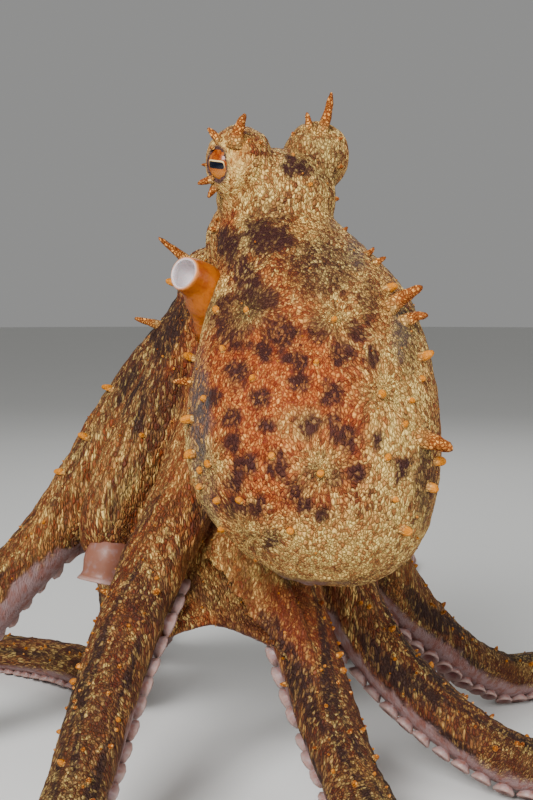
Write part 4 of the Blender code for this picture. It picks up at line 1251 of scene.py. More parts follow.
class Relief:
    """Wrinkles, furrows and the way the cells run, worked out at any point of the skin."""

    def __init__(self, viewer: Viewer, mantle: Mantle, head: Head, routes: list, webs: list) -> None:
        """Keeps the forms and puts every arm's centreline in a search tree."""
        self.viewer = viewer
        self.mantle = mantle
        self.head = head
        self.routes = routes
        self.stars = []
        self.rows = []
        for owner, route in enumerate(routes):
            for k in range(len(route.points)):
                _, forward, facing, _ = route.at(k * STEP)
                facing = webbed_facing((webs[owner - 1], webs[owner]), k * STEP, forward, facing)
                self.rows.append((owner, k * STEP, forward, facing, forward.cross(facing)))
        self.tree = search_tree([Vector(point) for route in routes for point in route.points])
        self.web_tree = kdtree.KDTree(1)
        self.web_rows = []

    def learn_webs(self, samples: list) -> None:
        """Puts the webs' middle surfaces in a search tree.

        Args:
            samples: place and way out of each sample.
        """
        self.web_rows = samples
        self.web_tree = search_tree([place for place, _ in samples])

    def learn_stars(self, points: np.ndarray, normals: np.ndarray) -> None:
        """Finds the middles of the mantle's stars on its skin."""
        self.stars = [points[self.find(points, normals, x, y)].copy() for x, y in MANTLE_STARS]

    def find(self, points: np.ndarray, normals: np.ndarray, x: float, y: float) -> int:
        """The point of the skin that is seen at a pixel, or else the nearest to it."""
        px, py, depth = self.viewer.project(points)
        hidden = normals @ self.viewer.axes()[3] > FACING_AWAY
        reach = np.hypot(px - x, py - y) + np.where(hidden, HIDDEN_PIXELS, 0.0)
        close = np.flatnonzero(reach < max(CLOSE_PIXELS, reach.min() + SPARE_PIXELS))
        return int(close[np.argmin(depth[close])])

    def arm_places(self, points: np.ndarray) -> ArmPlaces:
        """Where each point lies on its nearest arm."""
        count = len(points)
        owner = np.empty(count, dtype=int)
        along, deep, across = np.empty(count), np.empty(count), np.empty(count)
        faced = np.empty((count, 3))
        for k, point in enumerate(points):
            place, index, _ = self.tree.find(point)
            owner[k], distance, forward, facing, side = self.rows[index]
            away = Vector(point) - place
            along[k] = distance + away.dot(forward)
            deep[k] = away.dot(facing)
            across[k] = away.dot(side)
            faced[k] = facing
        return ArmPlaces(owner, along, deep, across, faced)

    def oral(self, points: np.ndarray, normals: np.ndarray, places: ArmPlaces) -> np.ndarray:
        """1 on the side of the suckers of the arms and of the webs' inner side, and 0 outside the webs."""
        share = smooth_steps(np.sum(normals * places.facing, axis=1), 0.12, 0.42)
        for k in np.flatnonzero(places.along < ARM_JOIN):
            _, index, gap = self.web_tree.find(points[k])
            middle, out = (np.array(value) for value in self.web_rows[index])
            weight = 1 - smooth_step((gap - WEB_SKIN) / WEB_SKIN_EASE)
            if weight > 0:
                outward = float(normals[k] @ out)
                share[k] += weight * (1 - smooth_step(outward / 0.6 + 0.6) - share[k])
            outside = float((points[k] - middle) @ out)
            webbed = 1 - smooth_step((gap - WEB_REACH) / WEB_REACH_EASE)
            share[k] *= 1 - webbed * smooth_step(outside / WEB_OUTSIDE)
        return share

    def flow(self, points: np.ndarray, places: ArmPlaces, outer: bool) -> np.ndarray:
        """Coordinates in which the cells are even: drawn out down the body, round the stars, along the arms.

        Args:
            points: places on the skin.
            places: where they lie on the arms.
            outer: whether the points are on an arm's outer length, which is then laid out straight.
        """
        if outer:
            route = self.routes[places.owner[0]]
            place, forward, facing, _ = (np.array(value) for value in route.at(ARM_JOIN))
            side = np.cross(forward, facing)
            past = places.along - ARM_JOIN
            eased = SKIRT_STRETCH * past + (1 - SKIRT_STRETCH) * ARM_EASE * (1 - np.exp(-past / ARM_EASE))
            laid = place + np.outer(places.deep, facing) + np.outer(places.across, side)
            laid += np.outer(eased, forward)
            level = smooth_steps(past, 0.0, ARM_LAYING)
            laid[:, 2] = self.stretched(laid[:, 2]) * (1 - level) + laid[:, 2] * level
            return laid
        flowing = points.copy()
        for star in self.stars:
            away = points - star
            reach = np.linalg.norm(away, axis=1)
            near = reach < STAR_REACH
            grown = (STAR_REACH / np.maximum(reach[near], STAR_CORE)) ** STAR_POWER
            flowing[near] = star + away[near] * grown[:, None]
        on_mantle = self.mantle.share(points)
        flowing[:, 2] = on_mantle * flowing[:, 2] * STRETCH + (1 - on_mantle) * self.stretched(flowing[:, 2])
        return flowing

    @staticmethod
    def stretched(heights: np.ndarray) -> np.ndarray:
        """Heights drawn together, more so below the neck, where the cells are long and narrow."""
        under = np.maximum(0.0, SKIRT_TOP - heights)
        easing = (STRETCH - SKIRT_STRETCH) * SKIRT_EASE * (1 - np.exp(-under / SKIRT_EASE))
        below = STRETCH * SKIRT_TOP - (SKIRT_STRETCH * under + easing)
        return np.where(heights > SKIRT_TOP, STRETCH * heights, below)

    def rays(self, points: np.ndarray) -> tuple:
        """Height, painted shade and paleness of the furrows that run out from each star of the mantle."""
        height, crease, pale = np.zeros(len(points)), np.zeros(len(points)), np.zeros(len(points))
        for k, star in enumerate(self.stars):
            away = points - star
            reach = np.linalg.norm(away, axis=1)
            turn = np.arctan2(away[:, 2], away[:, 0])
            wobble = 1.6 * np.sin(reach * 210.0 + k) + 0.9 * np.sin(turn * 2 + k)
            line = np.abs(np.sin(turn * (5.5 + k % 2) + wobble))
            fade = np.exp(-(reach / STAR_FADE) ** 2)
            groove = (1 - smooth_steps(line, 0.0, 0.42)) * fade * smooth_steps(reach, STAR_CORE, 0.0040)
            height += -groove * RAY_DEPTH + STAR_HEIGHT * np.exp(-(reach / STAR_TOP) ** 2)
            crease = np.maximum(crease, groove)
            pale = np.maximum(pale, np.exp(-(reach / STAR_PALE) ** 2))
        return height, crease, pale

    def side_ridge(self, points: np.ndarray, on_mantle: np.ndarray) -> np.ndarray:
        """1 on the crest of the ridge round the mantle's side."""
        px, py, _ = self.viewer.project(points)
        nearest = np.full(len(points), 1e6)
        for (ax, ay), (bx, by) in zip(SIDE_RIDGE, SIDE_RIDGE[1:]):
            length = (bx - ax) ** 2 + (by - ay) ** 2
            t = np.clip(((px - ax) * (bx - ax) + (py - ay) * (by - ay)) / length, 0, 1)
            nearest = np.minimum(nearest, np.hypot(px - ax - t * (bx - ax), py - ay - t * (by - ay)))
        front = points[:, 1] < RIDGE_FRONT
        return np.exp(-(nearest / RIDGE_PIXELS) ** 2) * on_mantle * front

    def shape(self, mesh: bpy.types.Mesh) -> None:
        """Moves the points of a skin mesh along their normals by the wrinkles."""
        points, normals = read_points(mesh), read_normals(mesh)
        on_mantle = self.mantle.share(points)
        places = self.arm_places(points)
        lumps = noise_field(points, LUMP_SCALE, 2, 11.3)
        folds = noise_field(points, FOLD_SCALE, 2, 5.1)
        rings = places.noise(1.9, 42.0, 3, 3.7)
        oral = self.oral(points, normals, places) * (1 - on_mantle)
        size = smooth_steps(-places.along, -0.70, -0.10)
        height = lumps * LUMP_HEIGHT + folds * FOLD_HEIGHT * (1 - on_mantle * 0.6)
        height += rings * RING_HEIGHT * (1 - on_mantle) * (0.25 + 0.75 * size)
        height = height * (1 - 0.8 * oral) * (0.35 + 0.65 * size)
        height += self.rays(points)[0] * on_mantle
        height += self.side_ridge(points, on_mantle) * RIDGE_HEIGHT
        write_points(mesh, points + normals * height[:, None])


class Marks:
    """The markings of one skin mesh: for each kind a value at each point."""

    def __init__(self, relief: Relief, mesh: bpy.types.Mesh, outer: bool) -> None:
        """Works every marking out.

        Args:
            relief: the forms that the markings follow.
            mesh: a skin mesh in the pose frame.
            outer: whether it is an arm's outer length.
        """
        self.relief = relief
        self.outer = outer
        self.points, self.normals = read_points(mesh), read_normals(mesh)
        self.on_mantle = relief.mantle.share(self.points)
        self.places = relief.arm_places(self.points)
        self.above = smooth_steps(self.points[:, 2], NECK_LOW, NECK_HIGH)
        self.body = np.maximum(self.on_mantle, self.above)
        self.wobble = noise_field(self.points, WOBBLE_SCALE, 3, 2.2)
        self.drift = noise_field(self.points, DRIFT_SCALE, 2, 9.9)
        self.fields = {}
        self.add_patches()
        self.add_streaks()
        self.add_stars()
        self.add_lids()

    @staticmethod
    def ovals(px: np.ndarray, py: np.ndarray, fields: list, wobble: np.ndarray) -> np.ndarray:
        """The strongest of several oval fields at each pixel, their edges broken by wobble."""
        result = np.zeros(len(px))
        for x, y, wide, tall, strength in fields:
            reach = np.sqrt(((px - x) / wide) ** 2 + ((py - y) / tall) ** 2) + wobble * 0.35
            result = np.maximum(result, strength * (1 - smooth_steps(reach, 0.55, 1.30)))
        return result

    def add_patches(self) -> None:
        """Adds the patches that the photograph shows, and like ones from noise where it shows nothing."""
        fields, body = self.fields, self.body
        px, py, _ = self.relief.viewer.project(self.points)
        front = smooth_steps(-(self.normals @ self.relief.viewer.axes()[3]), -0.10, 0.22)
        front *= np.maximum(smooth_steps(-self.points[:, 1], -0.045, -0.010), 1 - body)
        tables = {"pale": PALE_FIELDS, "red": RED_FIELDS, "dark": DARK_FIELDS, "slate": SLATE_FIELDS}
        for name, table in tables.items():
            fields[name] = self.ovals(px, py, table, self.wobble) * front
        spots = [(x, y, radius * 1.08, radius * 1.2, 1.0) for x, y, radius in MAROON_SPOTS]
        fields["maroon"] = self.ovals(px, py, spots, self.wobble * 1.8) * front * body
        hidden = 1 - front
        broad = noise_field(self.points, BROAD_SCALE, 3, 8.8)
        fields["maroon"] += hidden * body * smooth_steps(broad, 0.16, 0.34)
        fields["dark"] += hidden * smooth_steps(-broad, 0.20, 0.42) * 0.7
        fields["red"] += hidden * self.on_mantle * smooth_steps(self.drift, -0.20, 0.20) * 0.9
        fields["pale"] += hidden * body * smooth_steps(-self.drift, -0.10, 0.30) * 0.8

    def add_streaks(self) -> None:
        """Adds what runs down the skirt and the arms, and their pink side."""
        fields = self.fields
        below = (1 - self.on_mantle) * (1 - self.above)
        bands = self.places.noise(1.8, 15.0, 3, 6.4)
        fibre = self.places.noise(7.0, 26.0, 2, 4.9)
        fields["strand"] = smooth_steps(fibre, 0.02, 0.30) * below * 0.70
        fields["streak"] = smooth_steps(bands, 0.02, 0.34) * below
        fields["dark"] += smooth_steps(-bands, 0.08, 0.36) * below * 0.62
        fields["dark"] += 0.55 * below * smooth_steps(self.places.along, 0.14, 0.24)
        fields["skirt"] = below * (0.0 if self.outer else 1.0)
        fields["pale"] += smooth_steps(self.drift, -0.05, 0.35) * below * 0.35
        fields["oral"] = self.relief.oral(self.points, self.normals, self.places) * (1 - self.body)

    def add_stars(self) -> None:
        """Paints shade in the stars' furrows, and lightens the stars and the ridge on the mantle's side."""
        fields = self.fields
        crease, star = (values * self.on_mantle for values in self.relief.rays(self.points)[1:])
        ridge = self.relief.side_ridge(self.points, self.on_mantle)
        # Painted shade in the stars' furrows
        fields["crease"] = crease
        fields["pale"] = np.maximum(fields["pale"] * (0.75 + self.wobble * 0.6), star * 0.8)
        fields["pale"] = np.maximum(fields["pale"], ridge * 0.9)
        fields["red"] *= 1 - 0.7 * np.maximum(star, ridge)
        fields["maroon"] *= 1 - np.maximum(star * 0.6, ridge)

    def add_lids(self) -> None:
        """Adds each eye's lid ring of painted shade, the pale skin round it and the smooth skin beyond."""
        # The lid ring is painted shade where the lid folds round the eyeball
        rings = (("lid", 1.0, -1.26, -1.05), ("pale", 0.8, -1.9, -1.25), ("smooth", 1.0, -3.0, -1.3))
        for eye in self.relief.head.eyes:
            oval = eye.oval(self.points)
            for name, strength, low, high in rings:
                ring = strength * smooth_steps(-oval, low, high)
                self.fields[name] = np.maximum(self.fields.get(name, 0.0), ring)

    def write(self, mesh: bpy.types.Mesh) -> np.ndarray:
        """Writes the markings as values on the mesh's points.

        Returns:
            For each point the number of the piece that it belongs to: 0 the mantle, 1 the head, then its arm
            plus 2.
        """
        for name, values in self.fields.items():
            write_attribute(mesh, name, np.clip(values, 0, 1))
        write_attribute(mesh, "flow", self.relief.flow(self.points, self.places, self.outer))
        lower = np.where(self.points[:, 2] > HEAD_START, 1, self.places.owner + 2)
        return np.where(self.on_mantle > 0.5, 0, lower)


class Octopus:
    """The whole animal: builds each piece in order and hands it to the frame."""

    def __init__(self, shift: Vector) -> None:
        """Sets up the forms.

        Args:
            shift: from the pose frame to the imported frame.
        """
        self.shift = shift
        self.viewer = Viewer()
        self.mantle = Mantle()
        self.head = Head()
        self.routes = [Route(arm) for arm in ARMS]
        self.webs = [Web(route, self.routes[(k + 1) % len(self.routes)], WEB_DEPTHS[k])
                     for k, route in enumerate(self.routes)]
        self.relief = Relief(self.viewer, self.mantle, self.head, self.routes, self.webs)
        self.skin_finish = SkinFinish().make()

    def build(self) -> None:
        """Builds every piece."""
        skin = self.melt_body()
        self.build_papillae(skin)
        self.build_body(skin)
        self.build_arms()
        self.build_suckers()
        eye_finish = EyeFinish().make()
        for eye in self.head.eyes:
            ball = eye.build(eye_finish, self.shift)
            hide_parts("eye_" + eye.side)
        Funnel().build(FunnelFinish().make(), self.shift)

    def settle(self, mesh: bpy.types.Mesh) -> None:
        """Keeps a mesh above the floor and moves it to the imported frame."""
        points = read_points(mesh)
        points[:, 2] = np.maximum(points[:, 2], 0.0)
        write_points(mesh, points + np.array(self.shift))

    def melt_body(self) -> bpy.types.Mesh:
        """Melts mantle, head, webs and the arms' first lengths into one skin, still in the pose frame."""
        bm = bmesh.new()
        self.mantle.add(bm)
        self.head.add(bm)
        samples = []
        for route, web in zip(self.routes, self.webs):
            tube = bmesh.new()
            overlapped = ARM_JOIN + ARM_JOIN_OVERLAP
            route.tube(tube, 0.0, overlapped, TUBE_SIDES, TUBE_RING * 2, (0.0, ARM_JOIN_INSET))
            pour(tube, bm)
            samples += web.add(bm)
        self.relief.learn_webs(samples)
        bmesh.ops.recalc_face_normals(bm, faces=bm.faces)
        rough = link("rough_skin", make_mesh(bm, "rough_skin"))
        melt = rough.modifiers.new("melt", "REMESH")
        melt.mode = "VOXEL"
        melt.voxel_size = SKIN_VOXEL
        soften = rough.modifiers.new("soften", "SMOOTH")
        soften.factor = 0.5
        soften.iterations = SKIN_SMOOTH_STEPS
        graph = bpy.context.evaluated_depsgraph_get()
        skin = bpy.data.meshes.new_from_object(rough.evaluated_get(graph))
        bpy.data.objects.remove(rough)
        LOG.info("melted body: %d faces", len(skin.polygons))
        self.relief.learn_stars(read_points(skin), read_normals(skin))
        self.sink_eyes(skin)
        self.relief.shape(skin)
        self.sink_eyes(skin)
        return skin

    def sink_eyes(self, mesh: bpy.types.Mesh) -> None:
        """Makes room for the eyeballs."""
        points = read_points(mesh)
        for eye in self.head.eyes:
            eye.sink(points)
        write_points(mesh, points)

    def build_body(self, mesh: bpy.types.Mesh) -> None:
        """Hands the body's skin over in regions whose shared edges keep one direction of shading."""
        owners = Marks(self.relief, mesh, outer=False).write(mesh)
        self.settle(mesh)
        write_attribute(mesh, "shading", read_normals(mesh))
        corners = read_values(mesh.loops, "vertex_index", np.int32, 1)
        first = owners[corners[read_values(mesh.polygons, "loop_start", np.int32, 1)]]
        regions = [Region.MANTLE, Region.HEAD] + ARM_REGIONS
        for region in Region:
            wanted = np.array([other is region for other in regions])[first]
            bm = bmesh.new()
            bm.from_mesh(mesh)
            bm.faces.ensure_lookup_table()
            spare = [bm.faces[k] for k in np.flatnonzero(~wanted)]
            bmesh.ops.delete(bm, geom=spare, context="FACES")
            piece = finish_piece(bm, "skin_" + region.name.lower(), self.skin_finish)
            shading = read_values(piece.data.attributes["shading"].data, "vector", np.float32)
            piece.data.normals_split_custom_set_from_vertices(shading.tolist())
            piece.data.attributes.remove(piece.data.attributes["shading"])
            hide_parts(*region.value)
        bpy.data.meshes.remove(mesh)

    def build_arms(self) -> None:
        """Builds the outer length of each arm, from the melted skin to the tip."""
        for route in self.routes:
            bm = bmesh.new()
            route.tube(bm, ARM_JOIN, ARM_LENGTH - STEP, TUBE_SIDES, TUBE_RING, (ARM_JOIN_INSET, 0.0))
            bmesh.ops.recalc_face_normals(bm, faces=bm.faces)
            mesh = make_mesh(bm, "outer")
            self.relief.shape(mesh)
            Marks(self.relief, mesh, outer=True).write(mesh)
            self.settle(mesh)
            bm = bmesh.new()
            bm.from_mesh(mesh)
            bpy.data.meshes.remove(mesh)
            piece = finish_piece(bm, route.arm.name + "_skin", self.skin_finish)
            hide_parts(route.arm.name + "_middle", route.arm.name + "_tip")

    def build_suckers(self) -> None:
        """Builds each arm's two rows of suckers as one joined mesh."""
        material = SuckerFinish().make()
        draw = random.Random(5)
        for k, route in enumerate(self.routes):
            lean = SHOWN_LEAN.get(route.arm.name, (0.0, 0.0, 0.0))
            rows = Suckers(route, (self.webs[k - 1], self.webs[k]), draw, lean=lean)
            piece = rows.build(material, self.shift)
        GreatSucker().build(material, self.shift)

    def build_papillae(self, skin: bpy.types.Mesh) -> None:
        """Builds the papillae of the body and of the arms."""
        builder = Papillae(self.relief, self.shift)
        for piece in builder.build(read_points(skin), read_normals(skin), PapillaFinish().make()):
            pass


class Copies:
    """One small template, copied many times into one mesh."""

    def __init__(self, template: bmesh.types.BMesh) -> None:
        """Takes the template over."""
        self.bm = template
        self.pattern = template.verts[:] + template.edges[:] + template.faces[:]

    def add(self, matrix: Matrix) -> list:
        """Adds a copy placed by the matrix and returns its points."""
        made = bmesh.ops.duplicate(self.bm, geom=self.pattern)["geom"]
        points = [item for item in made if isinstance(item, bmesh.types.BMVert)]
        for point in points:
            point.co = matrix @ point.co
        return points

    def close(self, shift: Vector) -> bmesh.types.BMesh:
        """Drops the template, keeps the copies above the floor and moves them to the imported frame."""
        pattern = [item for item in self.pattern if isinstance(item, bmesh.types.BMVert)]
        bmesh.ops.delete(self.bm, geom=pattern, context="VERTS")
        for point in self.bm.verts:
            point.co.z = max(0.0, point.co.z)
        bmesh.ops.translate(self.bm, vec=shift, verts=self.bm.verts)
        return self.bm


def spin_profile(bm: bmesh.types.BMesh, profile: list, steps: int) -> None:
    """Spins a line of (radius, height) points about Z into a closed shape with its faces outwards.

    Args:
        bm: an empty mesh.
        profile: radius and height of each point, from the root to the top.
        steps: faces round the shape.
    """
    points = [bm.verts.new((radius, 0.0, height)) for radius, height in profile]
    edges = [bm.edges.new(pair) for pair in zip(points, points[1:])]
    bmesh.ops.spin(bm, geom=points + edges, cent=(0, 0, 0), axis=(0, 0, 1), angle=2 * math.pi, steps=steps,
                   use_merge=True)
    bmesh.ops.remove_doubles(bm, verts=bm.verts, dist=1e-4)
    close_holes(bm)


def place_matrix(place: Vector, axis: Vector, scale: tuple) -> Matrix:
    """Turns Z along an axis, scales, and moves to a place."""
    side = axis.orthogonal().normalized()
    turned = Matrix((side, axis.cross(side), axis)).transposed().to_4x4()
    return Matrix.Translation(place) @ turned @ Matrix.Diagonal((*scale, 1.0))


@dataclass
class Suckers:
    """The two rows of cups along one arm."""

    route: Route
    webs: tuple
    draw: random.Random
    first: float = 0.050
    last: float = ARM_LENGTH - 0.004
    spacing: float = 0.88
    spacing_min: float = 0.0016
    steps: int = 10
    sunk: float = 0.52
    uneven: tuple = (0.92, 1.06)
    tilt: float = 0.10
    lean: tuple = (0.0, 0.0, 0.0)
    lean_end: float = 0.31
    lean_ease: float = 0.04

    def cup(self) -> bmesh.types.BMesh:
        """One cup of radius 1, its root below 0 and its rim at the top: a profile that is spun."""
        profile = [(0.66, -1.0), (0.74, 0.0), (1.0, 0.40), (0.90, 0.56), (0.36, 0.20), (0.0, 0.0)]
        bm = bmesh.new()
        rim, pit, spoke = float_layers(bm, "rim", "pit", "spoke")
        spin_profile(bm, profile, self.steps)
        for vertex in bm.verts:
            radius = math.hypot(vertex.co.x, vertex.co.y)
            vertex[rim] = 1.0 if radius > 0.85 and vertex.co.z > 0.3 else 0.0
            # Painted shade in the cup's hollow
            vertex[pit] = 1.0 if radius < 0.40 and vertex.co.z > -0.5 else 0.0
            turn = math.atan2(vertex.co.y, vertex.co.x) * self.steps / (2 * math.pi)
            vertex[spoke] = float(round(turn) % 2)
        return bm

    def places(self) -> list:
        """Distance and row of each cup, the two rows in turn."""
        found = []
        distance = self.first
        row = 1
        while distance < self.last:
            found.append((distance, row))
            row = -row
            share = self.route.sucker_share(distance)
            distance += max(self.spacing_min, self.spacing * arm_radius(distance) * share)
        return found

    def build(self, material: bpy.types.Material, shift: Vector) -> bpy.types.Object:
        """Builds the cups as one mesh."""
        copies = Copies(self.cup())
        for distance, row in self.places():
            place, forward, facing, radius = self.route.at(distance)
            facing = webbed_facing(self.webs, distance, forward, facing)
            size = radius * self.route.sucker_share(distance) * self.draw.uniform(*self.uneven)
            out = Matrix.Rotation(row * math.radians(SUCKER_ROW_ANGLE), 3, forward) @ facing
            tilt = Vector([self.draw.uniform(-self.tilt, self.tilt) for _ in range(3)])
            leaning = 1 - smooth_step((distance - self.lean_end) / self.lean_ease + 1)
            out = (out + tilt + Vector(self.lean) * leaning).normalized()
            lift = radius * (1 + SUCKER_HEIGHT_SHARE) - size * self.sunk
            copies.add(place_matrix(place + out * lift, out, (size, size, size)))
        return finish_piece(copies.close(shift), self.route.arm.name + "_suckers", material)


@dataclass(frozen=True)
class GreatSucker:
    """The largest sucker of the left third arm, a bell that hangs below the arm's knee."""

    root: tuple = (-0.0785, 0.0140, 0.1300)
    axis: tuple = (-0.24, -0.14, -1.0)
    steps: int = 44
    rim_start: float = 0.0252
    pit_start: float = 0.02
    pit_radius: float = 0.008
    root_shade: float = 0.012

    def build(self, material: bpy.types.Material, shift: Vector) -> bpy.types.Object:
        """Builds the bell: a spun profile with a thin flared rim and a hollow underside."""
        profile = [(0.0030, -0.0020), (0.0052, 0.0004), (0.0076, 0.0028), (0.0096, 0.0056), (0.0111, 0.0090),
                   (0.0119, 0.0128), (0.0119, 0.0164), (0.0113, 0.0196), (0.0110, 0.0218), (0.0116, 0.0238),
                   (0.0127, 0.0254), (0.0129, 0.0262), (0.0120, 0.0259), (0.0098, 0.0238), (0.0060, 0.0214),
                   (0.0, 0.0205)]
        bm = bmesh.new()
        rim, pit, bell = float_layers(bm, "rim", "pit", "bell")
        spin_profile(bm, profile, self.steps)
        for vertex in bm.verts:
            x, y, z = vertex.co
            turn = math.atan2(y, x)
            in_pit = math.hypot(x, y) < self.pit_radius and z > self.pit_start
            vertex[rim] = 1.0 if z > self.rim_start else 0.0
            # Painted shade: full in the bell's hollow, and half as much near its root
            vertex[pit] = 1.0 if in_pit else 0.5 * smooth_step(0.8 - z / self.root_shade)
            vertex[bell] = 1.0
            soft = 1 + 0.03 * math.sin(2 * turn + 0.7) + 0.02 * math.sin(5 * turn)
            vertex.co = Vector((x * soft, y * soft, z * (1 + 0.03 * math.sin(turn))))
        matrix = place_matrix(Vector(self.root) + shift, Vector(self.axis).normalized(), (1, 1, 1))
        bmesh.ops.transform(bm, matrix=matrix, verts=bm.verts)
        return finish_piece(bm, "great_sucker", material)


@dataclass(frozen=True)
class Papilla:
    """One papilla's root, direction, length, radius, and how bright an orange it is."""

    root: Vector
    axis: Vector
    length: float
    radius: float
    bright: float


@dataclass
class Papillae:
    """Soft horns and warts of the skin, those of the photograph and many small ones."""

    relief: Relief
    shift: Vector
    scattered: int = 620
    on_arms: int = 120
    arm_start: float = 0.16
    arm_reach: float = 0.59
    knob_length: float = 0.0042
    knob_height: float = 0.0022
    horn_length: float = 0.0075
    horn_row: int = 270
    horn_bright: float = 0.2
    lid_room: float = 1.7
    on_mantle_size: float = 0.6
    taper: float = 0.42
    knob_swell: float = 0.36
    belly: float = 0.22
    sway: float = 0.22

    @staticmethod
    def horn(profile: list, sides: int) -> bmesh.types.BMesh:
        """One papilla of length 1 and radius 1, its profile spun.

        Args:
            profile: radius and height of each point, from the root to the tip.
            sides: faces round it.
        """
        bm = bmesh.new()
        tip, _ = float_layers(bm, "tip", "bright")
        spin_profile(bm, profile, sides)
        for vertex in bm.verts:
            vertex[tip] = max(0.0, vertex.co.z)
        return bm

    def shown(self, points: np.ndarray, normals: np.ndarray) -> list:
        """The papillae that the photograph shows."""
        _, right, up, forward = self.relief.viewer.axes()
        found = []
        for x, y, tip_x, tip_y, radius in SHOWN_PAPILLAE:
            index = self.relief.find(points, normals, x, y)
            depth = self.relief.viewer.project(points[index:index + 1])[2][0]
            scale = self.relief.viewer.pixel_size(depth)
            seen = right * (tip_x - x) * scale - up * (tip_y - y) * scale
            length = float(np.linalg.norm(seen))
            low = length < self.knob_length
            axis = Vector(seen / max(length, 1e-6) + normals[index] * (1.8 if low else 0.4)).normalized()
            bright = self.horn_bright if length > self.horn_length or y < self.horn_row else 1.0
            size = radius / 1000 * (0.72 if low else 1.0)
            length = self.knob_height if low else length
            found.append(Papilla(Vector(points[index]), axis, length, size, bright))
        return found

    def scatter(self, points: np.ndarray, normals: np.ndarray) -> list:
        """Many small papillae over the body's outer side, from a seeded draw."""
        draw = random.Random(21)
        on_mantle = self.relief.mantle.share(points)
        found = []
        while len(found) < self.scattered:
            k = draw.randrange(len(points))
            point, normal = points[k], normals[k]
            outward = normal[0] * (point[0] + 0.003) + normal[1] * (point[1] - 0.03)
            buried = on_mantle[k] < 0.5 and outward < 0.0
            eyes = self.relief.head.eyes
            if buried or any(eye.oval(points[k:k + 1])[0] < self.lid_room for eye in eyes):
                continue
            length = draw.uniform(0.0006, 0.0013) if draw.random() < 0.92 else draw.uniform(0.0013, 0.0026)
            length *= self.on_mantle_size if on_mantle[k] > 0.5 else 1.0
            radius = length * draw.uniform(0.50, 0.75)
            found.append(Papilla(Vector(point), Vector(normal), length, radius, draw.uniform(0.0, 0.9)))
        return found

    def along_arms(self) -> list:
        """Papillae in loose rows along the outer side of each arm."""
        draw = random.Random(33)
        found = []
        for route in self.relief.routes:
            for k in range(self.on_arms):
                distance = self.arm_start + self.arm_reach * (k + draw.random()) / self.on_arms
                place, forward, facing, radius = route.at(distance)
                side = draw.choice((-1, 1)) * draw.uniform(0.25, 1.25)
                out = (Matrix.Rotation(math.pi + side, 3, forward) @ facing).normalized()
                length = radius * draw.uniform(0.08, 0.21)
                width = length * draw.uniform(0.45, 0.65)
                bright = draw.uniform(0.1, 0.8)
                found.append(Papilla(place + out * radius * 0.98, out, length, width, bright))
        return found

    def build(self, points: np.ndarray, normals: np.ndarray, material: bpy.types.Material) -> list:
        """Builds the papillae: a piece of the large ones and a piece of the small ones.

        Args:
            points: the body's skin in the pose frame.
            normals: its normals.
            material: their finish.

        Returns:
            The two objects.
        """
        large = self.horn([(1.22, -0.30), (1.08, 0.02), (0.98, 0.20), (0.92, 0.38), (0.86, 0.56),
                           (0.78, 0.72), (0.66, 0.86), (0.42, 0.96), (0.0, 1.0)], 12)
        small = self.horn([(1.20, -0.25), (1.0, 0.15), (0.86, 0.60), (0.50, 0.92), (0.0, 1.0)], 6)
        many = self.scatter(points, normals) + self.along_arms()
        return [self.join("papillae_large", large, self.shown(points, normals), 0.10, material),
                self.join("papillae_small", small, many, 0.0, material)]

    def join(self, name: str, template: bmesh.types.BMesh, papillae: list, rough: float,
             material: bpy.types.Material) -> bpy.types.Object:
        """Joins a papilla for each place into one mesh.

        Args:
            name: the piece's name.
            template: the shape that is repeated.
            papillae: where they stand and how large they are.
            rough: how uneven the long ones are, as a share of the radius.
            material: their finish.
        """
        copies = Copies(template)
        bright = copies.bm.verts.layers.float["bright"]
        tip = copies.bm.verts.layers.float["tip"]
        draw = random.Random(8)
        for papilla in papillae:
            scale = (papilla.radius, papilla.radius * draw.uniform(0.8, 1.1), papilla.length)
            added = copies.add(place_matrix(papilla.root, papilla.axis, scale))
            sway = Vector([draw.uniform(-self.sway, self.sway) for _ in range(3)]) * papilla.length
            uneven = rough * papilla.radius * (1.0 if papilla.bright < 0.5 else 0.3)
            for vertex in added:
                vertex[bright] = papilla.bright
                middle = papilla.root + papilla.axis * (papilla.length * vertex[tip])
                rounded = self.belly * papilla.bright * math.sin(math.pi * min(1.0, vertex[tip]))
                swell = rounded - (self.taper - self.knob_swell * papilla.bright) * vertex[tip]
                jitter = Vector([draw.uniform(-uneven, uneven) for _ in range(3)])
                vertex.co += (vertex.co - middle) * swell + sway * vertex[tip] ** 2 + jitter
        return finish_piece(copies.close(self.shift), name, material)


